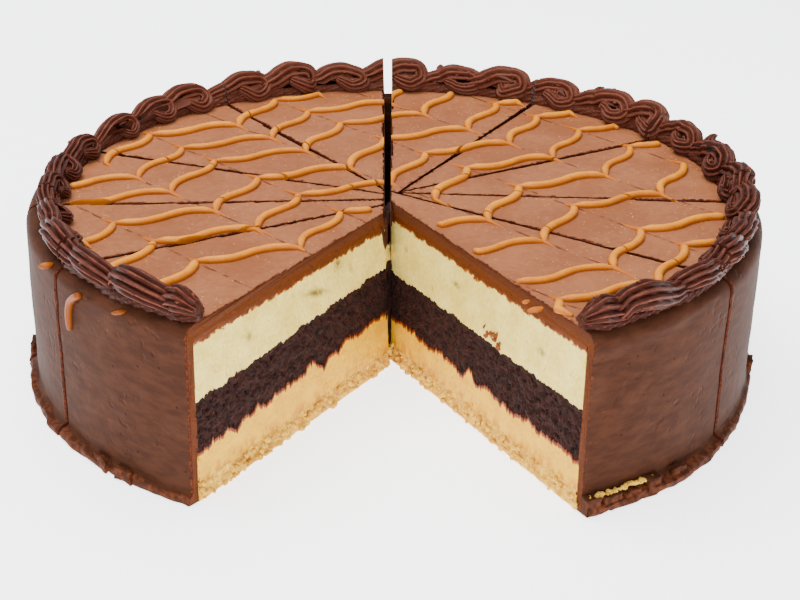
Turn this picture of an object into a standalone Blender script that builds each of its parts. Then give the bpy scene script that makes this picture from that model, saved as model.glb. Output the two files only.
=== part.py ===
"""A round chocolate and caramel cheesecake, cut in twelve, with two slices gone from the front.

It stands as two blocks of five slices with a narrow gap between them. The origin is on the surface
that the cake stands on, under the middle of its outline. +Z is up, and the missing slices face -Y.
Shapes are worked out round the cake's own axis, and the whole is then set so that the middle of its
outline is over the origin.
"""

import math
import random

import bmesh
import bpy
from mathutils import Matrix, Vector

MM = 0.001

# The whole cake
RADIUS = 127.0 * MM  # the ganache wall below its rounded top edge
FOOT_RADIUS = 126.3 * MM  # the same wall where it meets the floor
HEIGHT = 60.2 * MM  # to the flat ganache top
AXIS_X = 0.67 * MM  # the cake's axis from the middle of its outline
AXIS_Y = -6.63 * MM  # in front of it, because the missing slices are at the front
CLEARANCE = 0.3 * MM  # between pieces that touch
SLIVER = 0.01 * MM  # points closer than this are one
ROUND_SEGMENTS = 48

# Layers, bottom to top, as the height where each one ends
CRUST_TOP = 6.6 * MM
CARAMEL_TOP = 17.4 * MM
SPONGE_TOP = 35.2 * MM
VANILLA_TOP = 55.6 * MM  # the ganache top lies on it
LEFT_RISE = 5.0 * MM  # in the left block the sponge lies this much higher at the middle
WALL_THICKNESS = 3.0 * MM

# Ganache edge and foot
EDGE_ROUNDING = 4.2 * MM
LIP_PROUD = 3.0 * MM  # the smeared foot stands out about this far
LIP_HEIGHT = 5.0 * MM
LIP_WAVES = ((3, 0.5, 1.1 * MM), (7, 2.0, 0.7 * MM))  # lobes round the cake, where they start, depth
CRUMB_TURNS = (-86.0, -45.5, -40.5, 28.5, 32.0, 35.5, 39.5, 45.0, 84.0, 146.0, -160.0)
CRUMB_LIFT = 0.9 * MM  # above the floor
CRUMB_SIZE = (8.5 * MM, 4.2 * MM, 6.0 * MM)  # along the wall, out from it, tall
FLOOR_GAP = 0.4 * MM  # the crust alone rests on the floor

# Each cut: degrees from the front where it meets the rim, and its Y beside the middle
LEFT_CUTS = (
    (-28.3, -15.0 * MM),
    (-57.0, -9.5 * MM),
    (-82.4, -5.5 * MM),
    (-109.0, -1.0 * MM),
    (-144.5, 1.0 * MM),
    (-180.0, 1.0 * MM),
)
RIGHT_CUTS = (
    (27.5, -13.0 * MM),
    (57.0, 0.0 * MM),
    (88.9, 1.0 * MM),
    (122.5, 1.5 * MM),
    (152.0, 2.0 * MM),
    (180.0, 2.0 * MM),
)
CUT_WIDTH = 0.9 * MM
BESIDE_MIDDLE = 1.7 * MM  # that Y is taken this far to the cut's own side

# The gap between the blocks: X of each block's face at the top, near the tips and at the back
GAP_TIPS_Y = -15.0 * MM
GAP_BACK_Y = 113.0 * MM
LEFT_GAP = (-3.7 * MM, -5.2 * MM)
RIGHT_GAP = (-1.4 * MM, -2.1 * MM)
LEFT_GAP_LEAN = 2.6 * MM  # the face stands this much closer at the floor
RIGHT_GAP_LEAN = 1.0 * MM

# Caramel drawn in lines across the top, then pulled to and fro by a blade
STROKE_LINES = (-104.0, -86.0, -57.0, -32.0, -7.0, 14.5, 36.0, 60.0, 79.0, 98.5)  # mm along the pull
PULL_ANGLE = math.radians(135.0)
PULL_SPACING = 31.3 * MM
FIRST_PULL = -88.5 * MM
PULL_REACH = 7.5 * MM
PULL_SHARPNESS = 2.6
STROKE_RADIUS = 1.9 * MM
STROKE_FLATNESS = 0.8
STROKE_STEPS = 5
STROKE_BREAK = 0.02  # share of a stroke that is missing at each pull
STROKE_SINK = 0.25  # of the radius that lies in the ganache
STROKE_END_RADIUS = 111.0 * MM  # they end under the border
SHORTEST_STROKE = 12.0 * MM

# The run of caramel down the left wall
RUN_AZIMUTH = math.radians(-52.6)
RUN_START = math.radians(-49.6)
RUN_TOP = 56.5 * MM
RUN_END = 43.5 * MM

# The piped border
RING_RADIUS = 119.0 * MM
RING_WIDTH = 15.0 * MM
SHELL_PITCH = 22.3 * MM
SHELL_HEIGHT = 7.6 * MM  # the rope's middle line rises this far
SHELL_RADIUS = 4.4 * MM
TALLER_BEHIND = 0.06
RIDGES = 6
RIDGE_DEPTH = 0.26
CORE_HEIGHT = 4.0 * MM
CORE_STEPS = 6

SEED = 17


def clear_scene():
    """Remove what the startup file put in the scene."""
    for found in list(bpy.data.objects):
        bpy.data.objects.remove(found, do_unlink=True)


def make_collection(name):
    """Make a collection in the scene."""
    made = bpy.data.collections.new(name)
    bpy.context.scene.collection.children.link(made)
    return made


def make_material(name, colour, roughness):
    """Make a plain food material."""
    material = bpy.data.materials.new(name)
    material.use_nodes = True
    shader = material.node_tree.nodes["Principled BSDF"]
    shader.inputs["Base Color"].default_value = (*colour, 1.0)
    shader.inputs["Roughness"].default_value = roughness
    shader.inputs["Metallic"].default_value = 0.0
    material.diffuse_color = (*colour, 1.0)
    return material


def add_object(name, mesh, collection):
    """Put a mesh in a collection as an object."""
    made = bpy.data.objects.new(name, mesh)
    collection.objects.link(made)
    return made


def object_from_bmesh(name, shape, collection):
    """Turn a finished bmesh into an object, with its faces pointing out."""
    bmesh.ops.recalc_face_normals(shape, faces=shape.faces)
    mesh = bpy.data.meshes.new(name)
    shape.to_mesh(mesh)
    shape.free()
    return add_object(name, mesh, collection)


def apply_modifiers(target):
    """Replace an object's mesh by what its modifiers make of it."""
    bpy.context.view_layer.update()
    graph = bpy.context.evaluated_depsgraph_get()
    mesh = bpy.data.meshes.new_from_object(target.evaluated_get(graph))
    target.modifiers.clear()
    target.data = mesh


def mesh_from_curve(curve_object, collection):
    """Turn a curve object into a closed mesh object and remove the curve."""
    bpy.context.view_layer.update()
    graph = bpy.context.evaluated_depsgraph_get()
    mesh = bpy.data.meshes.new_from_object(curve_object.evaluated_get(graph))
    shape = bmesh.new()
    shape.from_mesh(mesh)
    shape.transform(curve_object.matrix_world)
    bmesh.ops.remove_doubles(shape, verts=shape.verts, dist=0.00001)
    name = curve_object.name
    bpy.data.objects.remove(curve_object, do_unlink=True)
    return object_from_bmesh(name, shape, collection)


def boolean(target, operation, cutter=None, collection=None):
    """Join or cut one object by another, or by all of a collection."""
    modifier = target.modifiers.new("boolean", "BOOLEAN")
    modifier.operation = operation
    modifier.solver = "MANIFOLD"
    if collection is None:
        modifier.object = cutter
    else:
        modifier.operand_type = "COLLECTION"
        modifier.collection = collection
    apply_modifiers(target)


def largest_body(target):
    """Keep the largest body of an object's mesh and drop loose scraps and sealed hollows."""
    shape = bmesh.new()
    shape.from_mesh(target.data)
    bmesh.ops.remove_doubles(shape, verts=shape.verts, dist=SLIVER)
    bodies = []
    waiting = set(shape.faces)
    while waiting:
        found = set()
        edge_of_search = {waiting.pop()}
        while edge_of_search:
            face = edge_of_search.pop()
            found.add(face)
            joints = [edge for edge in face.edges if len(edge.link_faces) == 2]
            nearby = {other for edge in joints for other in edge.link_faces} & waiting
            waiting -= nearby
            edge_of_search |= nearby
        bodies.append(found)
    bodies.sort(key=len, reverse=True)
    scraps = [face for scrap in bodies[1:] for face in scrap]
    bmesh.ops.delete(shape, geom=scraps, context="FACES")
    shape.to_mesh(target.data)
    shape.free()


def around(azimuth, radius, height=0.0):
    """A point at a turn from the front, which is -Y, at a distance from the cake's axis."""
    return Vector((math.sin(azimuth) * radius, -math.cos(azimuth) * radius, height))


def cone_solid(name, radii, levels, collection, rises=(0.0, 0.0)):
    """A round layer from its bottom and top radii and levels. Either end may rise to its middle."""
    (low_radius, high_radius), (bottom, top) = radii, levels
    shape = bmesh.new()
    bmesh.ops.create_cone(
        shape,
        cap_ends=True,
        segments=ROUND_SEGMENTS,
        radius1=low_radius,
        radius2=high_radius,
        depth=top - bottom,
    )
    bmesh.ops.translate(shape, verts=shape.verts, vec=(0.0, 0.0, (top + bottom) / 2))
    ends = [face for face in shape.faces if len(face.verts) > 4]
    ends.sort(key=lambda end: end.calc_center_median().z)
    for end, rise in zip(ends, rises):
        if rise:
            middle = bmesh.ops.poke(shape, faces=[end])["verts"]
            bmesh.ops.translate(shape, verts=middle, vec=(0.0, 0.0, rise))
    return object_from_bmesh(name, shape, collection)


def inner_radius(height):
    """The inside of the ganache wall at a height."""
    lean = (RADIUS - FOOT_RADIUS) * height / HEIGHT
    return FOOT_RADIUS + lean - WALL_THICKNESS - CLEARANCE


def layers(rise, collection):
    """The round layers of the filling, inside the ganache wall."""
    made = {}
    for name, bottom, top, rises in (
        ("crust", 0.0, CRUST_TOP, (0.0, 0.0)),
        ("caramel", CRUST_TOP + CLEARANCE, CARAMEL_TOP, (0.0, rise)),
        ("sponge", CARAMEL_TOP + CLEARANCE, SPONGE_TOP, (rise, rise)),
        ("vanilla", SPONGE_TOP + CLEARANCE, VANILLA_TOP, (rise, 0.0)),
    ):
        radii = (inner_radius(bottom), inner_radius(top))
        made[name] = cone_solid(name, radii, (bottom, top), collection, rises)
    return made


def ganache_profile():
    """The coat's outline from the axis over the top, down the wall and back inside."""
    edge = RADIUS - EDGE_ROUNDING
    arc = []
    for step in range(4):
        turn = math.radians(30.0 * step)
        out = edge + EDGE_ROUNDING * math.sin(turn)
        arc.append((out, HEIGHT - EDGE_ROUNDING * (1.0 - math.cos(turn))))
    foot = [
        (FOOT_RADIUS, LIP_HEIGHT),
        (FOOT_RADIUS + LIP_PROUD, LIP_HEIGHT * 0.55),
        (FOOT_RADIUS + LIP_PROUD, FLOOR_GAP),
        (FOOT_RADIUS - WALL_THICKNESS, FLOOR_GAP),
        (RADIUS - WALL_THICKNESS, VANILLA_TOP + CLEARANCE),
    ]
    return [(0.0, HEIGHT)] + arc + foot + [(0.0, VANILLA_TOP + CLEARANCE)]


def ganache_coat(collection):
    """The poured ganache: a flat top, a rounded edge, a wall and a smeared foot."""
    mesh = bpy.data.meshes.new("ganache")
    points = [(out, 0.0, height) for out, height in ganache_profile()]
    edges = [(index, index + 1) for index in range(len(points) - 1)]
    mesh.from_pydata(points, edges, [])
    coat = add_object("ganache", mesh, collection)
    screw = coat.modifiers.new("turn", "SCREW")
    screw.steps = ROUND_SEGMENTS
    screw.render_steps = ROUND_SEGMENTS
    screw.use_merge_vertices = True
    screw.merge_threshold = 0.00001
    apply_modifiers(coat)
    for vertex in coat.data.vertices:
        out = vertex.co.xy.length
        if out > FOOT_RADIUS + LIP_PROUD / 2:
            turn = math.atan2(vertex.co.x, -vertex.co.y)
            vertex.co.xy *= (FOOT_RADIUS + lip_proud(turn)) / out
    return coat


def stroke_curve(name, points, thicknesses, collection):
    """A rope of caramel through some points, thick or thin at each."""
    curve = bpy.data.curves.new(name, "CURVE")
    curve.dimensions = "3D"
    curve.bevel_depth = STROKE_RADIUS
    curve.bevel_resolution = 1
    curve.use_fill_caps = True
    spline = curve.splines.new("POLY")
    spline.points.add(len(points) - 1)
    for point, place, thickness in zip(spline.points, points, thicknesses):
        point.co = (*place, 1.0)
        point.radius = thickness
    made = add_object(name, curve, collection)
    return mesh_from_curve(made, collection)


def stroke_point(along_line, line, band):
    """A point of one caramel stroke, from 0 to 1 along it, flat on the ganache."""
    across = Vector((math.sin(PULL_ANGLE), -math.cos(PULL_ANGLE), 0.0))
    pull = Vector((math.cos(PULL_ANGLE), math.sin(PULL_ANGLE), 0.0))
    swing = 2.0 * along_line - 1.0
    shift = -math.copysign(abs(swing) ** PULL_SHARPNESS, swing)
    direction = 1.0 if band % 2 == 0 else -1.0
    place = across * (FIRST_PULL + PULL_SPACING * (band + along_line))
    return place + pull * (line * MM + direction * PULL_REACH * shift)


def on_the_top(point):
    """Whether a point lies inside the border and outside the missing slices."""
    turn = math.degrees(math.atan2(point.x, -point.y))
    inside = point.length < STROKE_END_RADIUS
    return inside and not LEFT_CUTS[0][0] < turn < RIGHT_CUTS[0][0]


def stroke_pieces(points, thicknesses):
    """The longest run of a stroke's points that lies on the top."""
    runs = [[]]
    for point, thickness in zip(points, thicknesses):
        if on_the_top(point):
            runs[-1].append((point, thickness))
        elif runs[-1]:
            runs.append([])
    return max(runs, key=len)


def caramel_strokes(collection):
    """Every stroke on the top, band by band between the pulls of the blade."""
    height = HEIGHT - STROKE_SINK * STROKE_RADIUS
    fine = STROKE_STEPS * 4
    for band in range(-1, 7):
        for number, line in enumerate(STROKE_LINES):
            drawn = 1.0 - 2.0 * STROKE_BREAK
            steps = [STROKE_BREAK + drawn * index / fine for index in range(fine + 1)]
            points = [stroke_point(step, line, band) for step in steps]
            thicknesses = [min(1.0, 0.45 + 4.0 * min(step, 1.0 - step)) for step in steps]
            run = stroke_pieces(points, thicknesses)
            if len(run) < 2 or (run[-1][0] - run[0][0]).length < SHORTEST_STROKE:
                continue
            kept = run[::4]
            if run[-1] is not kept[-1]:
                kept.append(run[-1])
            name = f"stroke_{band + 1}_{number}"
            places = [Vector((point.x, point.y, height)) for point, _ in kept]
            stroke = stroke_curve(name, places, [thickness for _, thickness in kept], collection)
            for vertex in stroke.data.vertices:
                vertex.co.z = height + (vertex.co.z - height) * STROKE_FLATNESS


def caramel_run(collection):
    """The caramel that ran down the left wall below the border."""
    out = RADIUS - STROKE_SINK * STROKE_RADIUS
    points = []
    for step in range(6):
        fall = step / 5.0
        turn = RUN_AZIMUTH + (RUN_START - RUN_AZIMUTH) * (1.0 - fall) ** 4
        points.append(around(turn, out, RUN_TOP + (RUN_END - RUN_TOP) * fall))
    stroke_curve("wall_run", points, (0.9, 1.0, 1.0, 0.95, 0.9, 0.5), collection)


def lip_proud(turn):
    """How far the smeared foot stands out at a turn from the front."""
    waves = (depth * math.sin(lobes * turn + start) for lobes, start, depth in LIP_WAVES)
    return LIP_PROUD + sum(waves)


def foot_crumbs(collection, draw):
    """Broken bits of ganache pushed up along the foot."""
    for number, degrees in enumerate(CRUMB_TURNS):
        turn = math.radians(degrees)
        length, out, tall = (side * draw.uniform(0.75, 1.2) for side in CRUMB_SIZE)
        shape = bmesh.new()
        bmesh.ops.create_cube(shape, size=1.0)
        for vertex in shape.verts:
            vertex.co.x *= length * draw.uniform(0.75, 1.1)
            vertex.co.y *= out * draw.uniform(0.8, 1.1)
            vertex.co.z = CRUMB_LIFT + (vertex.co.z + 0.5) * tall * draw.uniform(0.8, 1.1)
        place = around(turn, FOOT_RADIUS + lip_proud(turn) * 0.4)
        spin = Matrix.Translation(place) @ Matrix.Rotation(turn, 4, "Z")
        bmesh.ops.transform(shape, matrix=spin, verts=shape.verts)
        object_from_bmesh(f"foot_crumb_{number}", shape, collection)


def star_outline(collection):
    """The star tip's opening, which gives the piped rope its ridges."""
    curve = bpy.data.curves.new("star_tip", "CURVE")
    curve.dimensions = "2D"
    spline = curve.splines.new("POLY")
    spline.points.add(2 * RIDGES - 1)
    for index, point in enumerate(spline.points):
        turn = math.tau * index / (2 * RIDGES)
        size = SHELL_RADIUS * (1.0 if index % 2 == 0 else 1.0 - RIDGE_DEPTH)
        point.co = (size * math.cos(turn), size * math.sin(turn), 0.0, 1.0)
    spline.use_cyclic_u = True
    made = add_object("star_tip", curve, collection)
    made.hide_render = True
    return made


# A piped shell's middle line, as shares of the pitch along the ring, of the ring's width out from
# its middle and of the shell's height, and the share of the full thickness there. It starts in an
# eye on the inside, curls back and over the top, and tails off under the next shell.
SHELL_LINE = (
    (0.00, -0.12, 0.52, 0.50),
    (-0.24, -0.22, 0.30, 0.80),
    (-0.46, -0.04, 0.46, 0.95),
    (-0.32, 0.16, 0.78, 1.05),
    (0.04, 0.18, 0.86, 1.10),
    (0.44, 0.05, 0.55, 0.92),
    (0.94, -0.05, 0.25, 0.45),
)


def piped_shell(name, azimuth, pitch, height, star, collection):
    """One shell of the border, piped with the star tip along its curling middle line."""
    curve = bpy.data.curves.new(name, "CURVE")
    curve.dimensions = "3D"
    curve.bevel_mode = "OBJECT"
    curve.bevel_object = star
    curve.use_fill_caps = True
    curve.twist_mode = "MINIMUM"
    spline = curve.splines.new("POLY")
    spline.points.add(len(SHELL_LINE) - 1)
    for point, (along, out, up, thickness) in zip(spline.points, SHELL_LINE):
        radius = RING_RADIUS + out * RING_WIDTH
        turn = azimuth + along * pitch / RING_RADIUS
        point.co = (*around(turn, radius, HEIGHT + up * height), 1.0)
        point.radius = thickness * height / SHELL_HEIGHT
    made = add_object(name, curve, collection)
    return mesh_from_curve(made, collection)


def rope_core(first, last, collection):
    """The low rope under a stretch of the border, which the shells lie on."""
    curve = bpy.data.curves.new("border_core", "CURVE")
    curve.dimensions = "3D"
    curve.bevel_depth = CORE_HEIGHT
    curve.bevel_resolution = 1
    curve.use_fill_caps = True
    spline = curve.splines.new("POLY")
    spline.points.add(CORE_STEPS)
    for index, point in enumerate(spline.points):
        turn = first + (last - first) * index / CORE_STEPS
        point.co = (*around(turn, RING_RADIUS, HEIGHT), 1.0)
    made = add_object("border_core", curve, collection)
    return mesh_from_curve(made, collection)


def block_shells(first, last, draw):
    """Where the shells of one block start and how big each is, from the front to the back."""
    span = abs(last - first) * RING_RADIUS
    count = round(span / SHELL_PITCH)
    pitch = span / count
    places = []
    for number in range(count + 1):
        turn = first + (last - first) * (number + draw.uniform(-0.12, 0.12)) / count
        behind = 0.5 - 0.5 * math.cos(turn)
        tall = SHELL_HEIGHT * draw.uniform(0.9, 1.08) * (1.0 + TALLER_BEHIND * behind)
        places.append((turn, pitch * draw.uniform(0.95, 1.1), tall))
    return places


def cut_plane(cut, side):
    """A point on a cut near the middle, and the level direction square to it, towards higher turns."""
    turn, inner_y = cut
    inner = Vector((side * BESIDE_MIDDLE, inner_y, 0.0))
    along = around(math.radians(turn), RADIUS) - inner
    return inner, Vector((-along.y, along.x, 0.0)).normalized() * side


def gap_plane(side):
    """A point on a block's face in the gap, and the direction out of the block there."""
    near_x, far_x = RIGHT_GAP if side > 0 else LEFT_GAP
    lean = RIGHT_GAP_LEAN if side > 0 else LEFT_GAP_LEAN
    along = Vector((far_x - near_x, GAP_BACK_Y - GAP_TIPS_Y, 0.0))
    down = Vector((lean, 0.0, -HEIGHT))
    normal = along.cross(down).normalized()
    if normal.x * side > 0:
        normal = -normal
    return Vector((near_x, GAP_TIPS_Y, HEIGHT)), normal


def slice_planes(cuts, number, side):
    """The planes round one slice: past every cut before it, short of the next, and beside the gap."""
    planes = [gap_plane(side)]
    for index, cut in enumerate(cuts[: number + 1]):
        if abs(cut[0]) == 180.0:
            continue
        point, normal = cut_plane(cut, side)
        outward = normal if index == number else -normal
        trim = 0.0 if index == 0 else CUT_WIDTH / 2
        planes.append((point - outward * trim, outward))
    return planes


def slice_wedge(name, planes, collection):
    """The space of one slice, as a tall block cut by its planes."""
    shape = bmesh.new()
    bmesh.ops.create_cone(
        shape, cap_ends=True, segments=24, radius1=2 * RADIUS, radius2=2 * RADIUS, depth=4 * HEIGHT
    )
    for point, normal in planes:
        whole = list(shape.verts) + list(shape.edges) + list(shape.faces)
        bmesh.ops.bisect_plane(
            shape, geom=whole, plane_co=point, plane_no=normal, dist=1e-7, clear_outer=True
        )
        rim = [edge for edge in shape.edges if edge.is_boundary]
        bmesh.ops.holes_fill(shape, edges=rim)
    wedge = object_from_bmesh(name, shape, collection)
    wedge.hide_render = True
    wedge.display_type = "WIRE"
    return wedge


def piece_of(whole, wedge, name, material, collection):
    """What one slice has of a layer that was made whole."""
    piece = add_object(name, whole.data.copy(), collection)
    boolean(piece, "INTERSECT", cutter=wedge)
    largest_body(piece)
    piece.data.materials.clear()
    piece.data.materials.append(material)
    piece.data.shade_smooth()
    piece.data.set_sharp_from_angle(angle=math.radians(35.0))
    return piece


def joined(first, helpers):
    """Join every object of a helper collection to one object, and remove them."""
    boolean(first, "UNION", collection=helpers)
    for helper in list(helpers.objects):
        bpy.data.objects.remove(helper, do_unlink=True)
    return first


def slice_border(near, far, side, shells, star, name, helpers, workshop):
    """The border over one slice, a little too long at both cuts."""
    spare = 0.04 * side
    core = rope_core(math.radians(near) - spare, math.radians(far) + spare, workshop)
    for number, (turn, pitch, height) in enumerate(shells):
        reach = pitch / RING_RADIUS
        low, high = sorted((math.radians(near), math.radians(far)))
        if low - reach < turn < high + reach:
            piped_shell(f"{name}_{number}", turn, pitch, height, star, helpers)
    border = joined(core, helpers)
    floor = HEIGHT + CLEARANCE
    levels = (floor, floor + 4 * SHELL_HEIGHT)
    deck = cone_solid("deck", (2 * RADIUS, 2 * RADIUS), levels, workshop)
    boolean(border, "INTERSECT", cutter=deck)
    bpy.data.objects.remove(deck, do_unlink=True)
    return border


def main():
    """Make the cake whole, then cut it."""
    clear_scene()
    cake = make_collection("caramel_chocolate_cheesecake")
    workshop = make_collection("workshop")
    helpers = make_collection("helpers")
    materials = {
        "crust": make_material("biscuit_crust", (0.55, 0.34, 0.15), 0.85),
        "caramel": make_material("caramel_cheesecake", (0.62, 0.44, 0.20), 0.55),
        "sponge": make_material("chocolate_sponge", (0.045, 0.018, 0.013), 0.9),
        "vanilla": make_material("vanilla_cheesecake", (0.80, 0.74, 0.55), 0.5),
        "ganache": make_material("chocolate_ganache", (0.26, 0.11, 0.06), 0.38),
        "border": make_material("piped_chocolate", (0.07, 0.02, 0.015), 0.4),
    }
    caramel_strokes(helpers)
    caramel_run(helpers)
    foot_crumbs(helpers, random.Random(SEED))
    coat = joined(ganache_coat(workshop), helpers)

    stand = bpy.data.objects.new("cake_axis", None)
    stand.location = (AXIS_X, AXIS_Y, 0.0)
    cake.objects.link(stand)
    star = star_outline(workshop)
    for side_name, side, cuts in (("left", -1, LEFT_CUTS), ("right", 1, RIGHT_CUTS)):
        first, last = math.radians(cuts[0][0]), math.radians(cuts[-1][0])
        shells = block_shells(first, last, random.Random(SEED))
        wholes = layers(LEFT_RISE if side < 0 else 0.0, workshop)
        wholes["ganache"] = coat
        for number, (near, far) in enumerate(zip(cuts, cuts[1:]), start=1):
            name = f"{side_name}_{number}"
            wedge = slice_wedge(f"{name}_space", slice_planes(cuts, number, side), workshop)
            for kind, whole in wholes.items():
                piece = piece_of(whole, wedge, f"{name}_{kind}", materials[kind], cake)
                piece.parent = stand
            border = slice_border(near[0], far[0], side, shells, star, name, helpers, workshop)
            piece = piece_of(border, wedge, f"{name}_border", materials["border"], cake)
            piece.parent = stand
    for leftover in list(workshop.objects):
        bpy.data.objects.remove(leftover, do_unlink=True)


main()
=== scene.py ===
"""The looks of the layered chocolate and caramel cheesecake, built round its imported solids.

Each slice gets a poured chocolate coat, caramel lines, a piped rim and, where the missing slices
leave it open, layers with a torn, crumbly face. Shapes are worked out round the cake's own axis, in
metres, and each finished mesh is then moved to where the frame has the cake.
"""

import math
import random

import bmesh
import bpy
from mathutils import Matrix, Vector, noise


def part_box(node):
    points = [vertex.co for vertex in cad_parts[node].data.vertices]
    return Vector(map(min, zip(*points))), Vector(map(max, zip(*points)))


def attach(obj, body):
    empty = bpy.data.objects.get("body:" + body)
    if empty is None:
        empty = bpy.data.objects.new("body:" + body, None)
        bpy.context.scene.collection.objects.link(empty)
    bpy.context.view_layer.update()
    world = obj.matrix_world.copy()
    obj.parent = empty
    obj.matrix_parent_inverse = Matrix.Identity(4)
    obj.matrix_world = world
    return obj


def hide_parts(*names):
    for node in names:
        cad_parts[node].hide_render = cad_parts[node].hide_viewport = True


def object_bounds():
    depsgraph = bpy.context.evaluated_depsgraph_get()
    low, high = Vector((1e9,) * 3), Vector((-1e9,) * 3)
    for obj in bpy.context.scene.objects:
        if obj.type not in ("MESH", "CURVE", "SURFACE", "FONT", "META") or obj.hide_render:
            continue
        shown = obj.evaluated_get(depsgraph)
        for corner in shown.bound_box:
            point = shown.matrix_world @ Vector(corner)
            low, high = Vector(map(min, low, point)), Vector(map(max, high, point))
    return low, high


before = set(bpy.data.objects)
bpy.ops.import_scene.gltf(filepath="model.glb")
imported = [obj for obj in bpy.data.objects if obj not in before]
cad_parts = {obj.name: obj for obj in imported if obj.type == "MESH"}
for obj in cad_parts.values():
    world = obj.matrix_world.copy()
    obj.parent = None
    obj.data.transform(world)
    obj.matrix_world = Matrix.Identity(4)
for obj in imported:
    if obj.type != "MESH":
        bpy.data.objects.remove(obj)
solid_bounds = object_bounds()

MM = 0.001

# The cake, as its solids have it
RADIUS = 127.0 * MM
FOOT_RADIUS = 126.3 * MM
HEIGHT = 60.2 * MM
CRUST_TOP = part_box("right_3_crust")[1][2]
CARAMEL_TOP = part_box("right_3_caramel")[1][2]
SPONGE_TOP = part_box("right_3_sponge")[1][2]
VANILLA_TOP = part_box("right_3_vanilla")[1][2]
LEFT_RISE = 5.0 * MM
WALL_THICKNESS = 3.0 * MM
CLEARANCE = 0.3 * MM
RIGHTMOST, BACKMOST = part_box("right_3_vanilla")[1][0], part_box("right_5_vanilla")[1][1]
INNER_RADIUS = (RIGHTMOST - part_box("left_3_vanilla")[0][0]) / 2
AXIS = Vector((RIGHTMOST - INNER_RADIUS, BACKMOST - INNER_RADIUS, 0.0))

LEFT_CUTS = (
    (-28.3, -15.0 * MM),
    (-57.0, -9.5 * MM),
    (-82.4, -5.5 * MM),
    (-109.0, -1.0 * MM),
    (-144.5, 1.0 * MM),
    (-180.0, 1.0 * MM),
)
RIGHT_CUTS = (
    (27.5, -13.0 * MM),
    (57.0, 0.0 * MM),
    (88.9, 1.0 * MM),
    (122.5, 1.5 * MM),
    (152.0, 2.0 * MM),
    (180.0, 2.0 * MM),
)
CUT_WIDTH = 0.9 * MM
BESIDE_MIDDLE = 1.7 * MM
GAP_TIPS_Y = -15.0 * MM
GAP_BACK_Y = 113.0 * MM
GAP_SMEAR_Y = 118.0 * MM
GAP_FACES = {-1: (-3.7 * MM, -5.2 * MM, 2.6 * MM), 1: (-1.4 * MM, -2.1 * MM, 1.0 * MM)}
SIDES = (("left", -1, LEFT_CUTS), ("right", 1, RIGHT_CUTS))
SLICES = range(1, 6)

# The angle in degrees past which an edge stays sharp on smooth, piped and crumbly food
SMOOTH_ANGLE, RIDGE_ANGLE, CRUMBLY_ANGLE = 40.0, 60.0, 80.0

# The chocolate coat
COAT_TURNS = 300
TOP_RINGS = 84
WALL_RINGS = 38
EDGE_ROUNDING = 4.2 * MM
FLOOR_GAP = 0.4 * MM
LIP_HEIGHT = 5.0 * MM
LIP_PROUD = 3.0 * MM
LIP_WAVES = ((3, 0.5, 1.1 * MM), (7, 2.0, 0.7 * MM))
LIP_SHAPE = ((1.0, 0.0), (0.93, 0.35), (0.86, 0.72), (0.7, 0.94), (0.45, 1.0), (0.2, 1.0), (0.0, 0.9))
TOP_FADE = (122.0 * MM, 118.0 * MM)
RUST_LEVELS = (59.9 * MM, 58.0 * MM)
SLAB_BOTTOM = (54.0 * MM, 55.2 * MM)
STRIP_LEVELS = (56.0 * MM, 54.5 * MM)
TORN_DEPTH = 2.0 * MM
BURR_DEPTHS = (1.0 * MM, 1.7 * MM, 2.5 * MM)
SMEAR_HEIGHT = 52.3 * MM
SMEAR_TURNS = (28.0, 52.0)
CHUNK_TURNS = (-86.0, -45.5, -40.5, 28.5, 32.0, 35.5, 39.5, 45.0, 84.0, 146.0, -160.0)
CHUNK_SIZE = (8.0 * MM, 3.8 * MM, 5.6 * MM)

# Caramel lines
STROKE_LINES = (-104.0, -86.0, -57.0, -32.0, -7.0, 14.5, 36.0, 60.0, 79.0, 98.5)
PULL_ANGLE = math.radians(135.0)
PULL = Vector((math.cos(PULL_ANGLE), math.sin(PULL_ANGLE), 0.0))
PULL_SPACING = 31.3 * MM
FIRST_PULL = -88.5 * MM
PULL_REACH = 7.5 * MM
PULL_SHARPNESS = 2.6
STROKE_RADIUS = 1.55 * MM
STROKE_SINK = 0.1
STROKE_END_RADIUS = 112.5 * MM
STROKE_SIDES = 14
SHORTEST_STROKE = 6.0 * MM
STROKE_STEPS = 44
TAIL_LENGTH = 8.0 * MM
RUN_AZIMUTH = math.radians(-52.6)
RUN_START = math.radians(-49.6)
RUN_TOP = 56.8 * MM
RUN_END = 43.5 * MM

# The piped rim
RING_RADIUS = 119.0 * MM
RING_WIDTH = 15.0 * MM
SHELL_PITCH = 22.3 * MM
SHELL_HEIGHT = 7.6 * MM
SHELL_RADIUS = 3.9 * MM
TALLER_BEHIND = 0.06
RIDGES = 10
RIDGE_DEPTH = 0.34
CORE_RADIUS = 3.5 * MM
SHELL_STATIONS = 60
ROPE_SIDES, TIP_SIDES = RIDGES * 7, RIDGES * 5
DIP_INWARD = 1.8 * MM
FRONT_OUTWARD = 1.9 * MM
WORN_DEPTH = 6.0 * MM
RIM_FLAKES = {-1: 8, 1: 34}
POINTED_TIPS = {-1: 0, 1: 3}
SEED = 17
SHELL_LINE = (
    (0.00, -0.16, 0.62, 0.60),
    (-0.17, -0.24, 0.36, 0.78),
    (-0.36, -0.10, 0.44, 0.92),
    (-0.28, 0.08, 0.82, 1.02),
    (0.04, 0.12, 0.90, 1.12),
    (0.44, 0.06, 0.54, 0.98),
    (0.98, -0.04, 0.20, 0.52),
)

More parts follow.
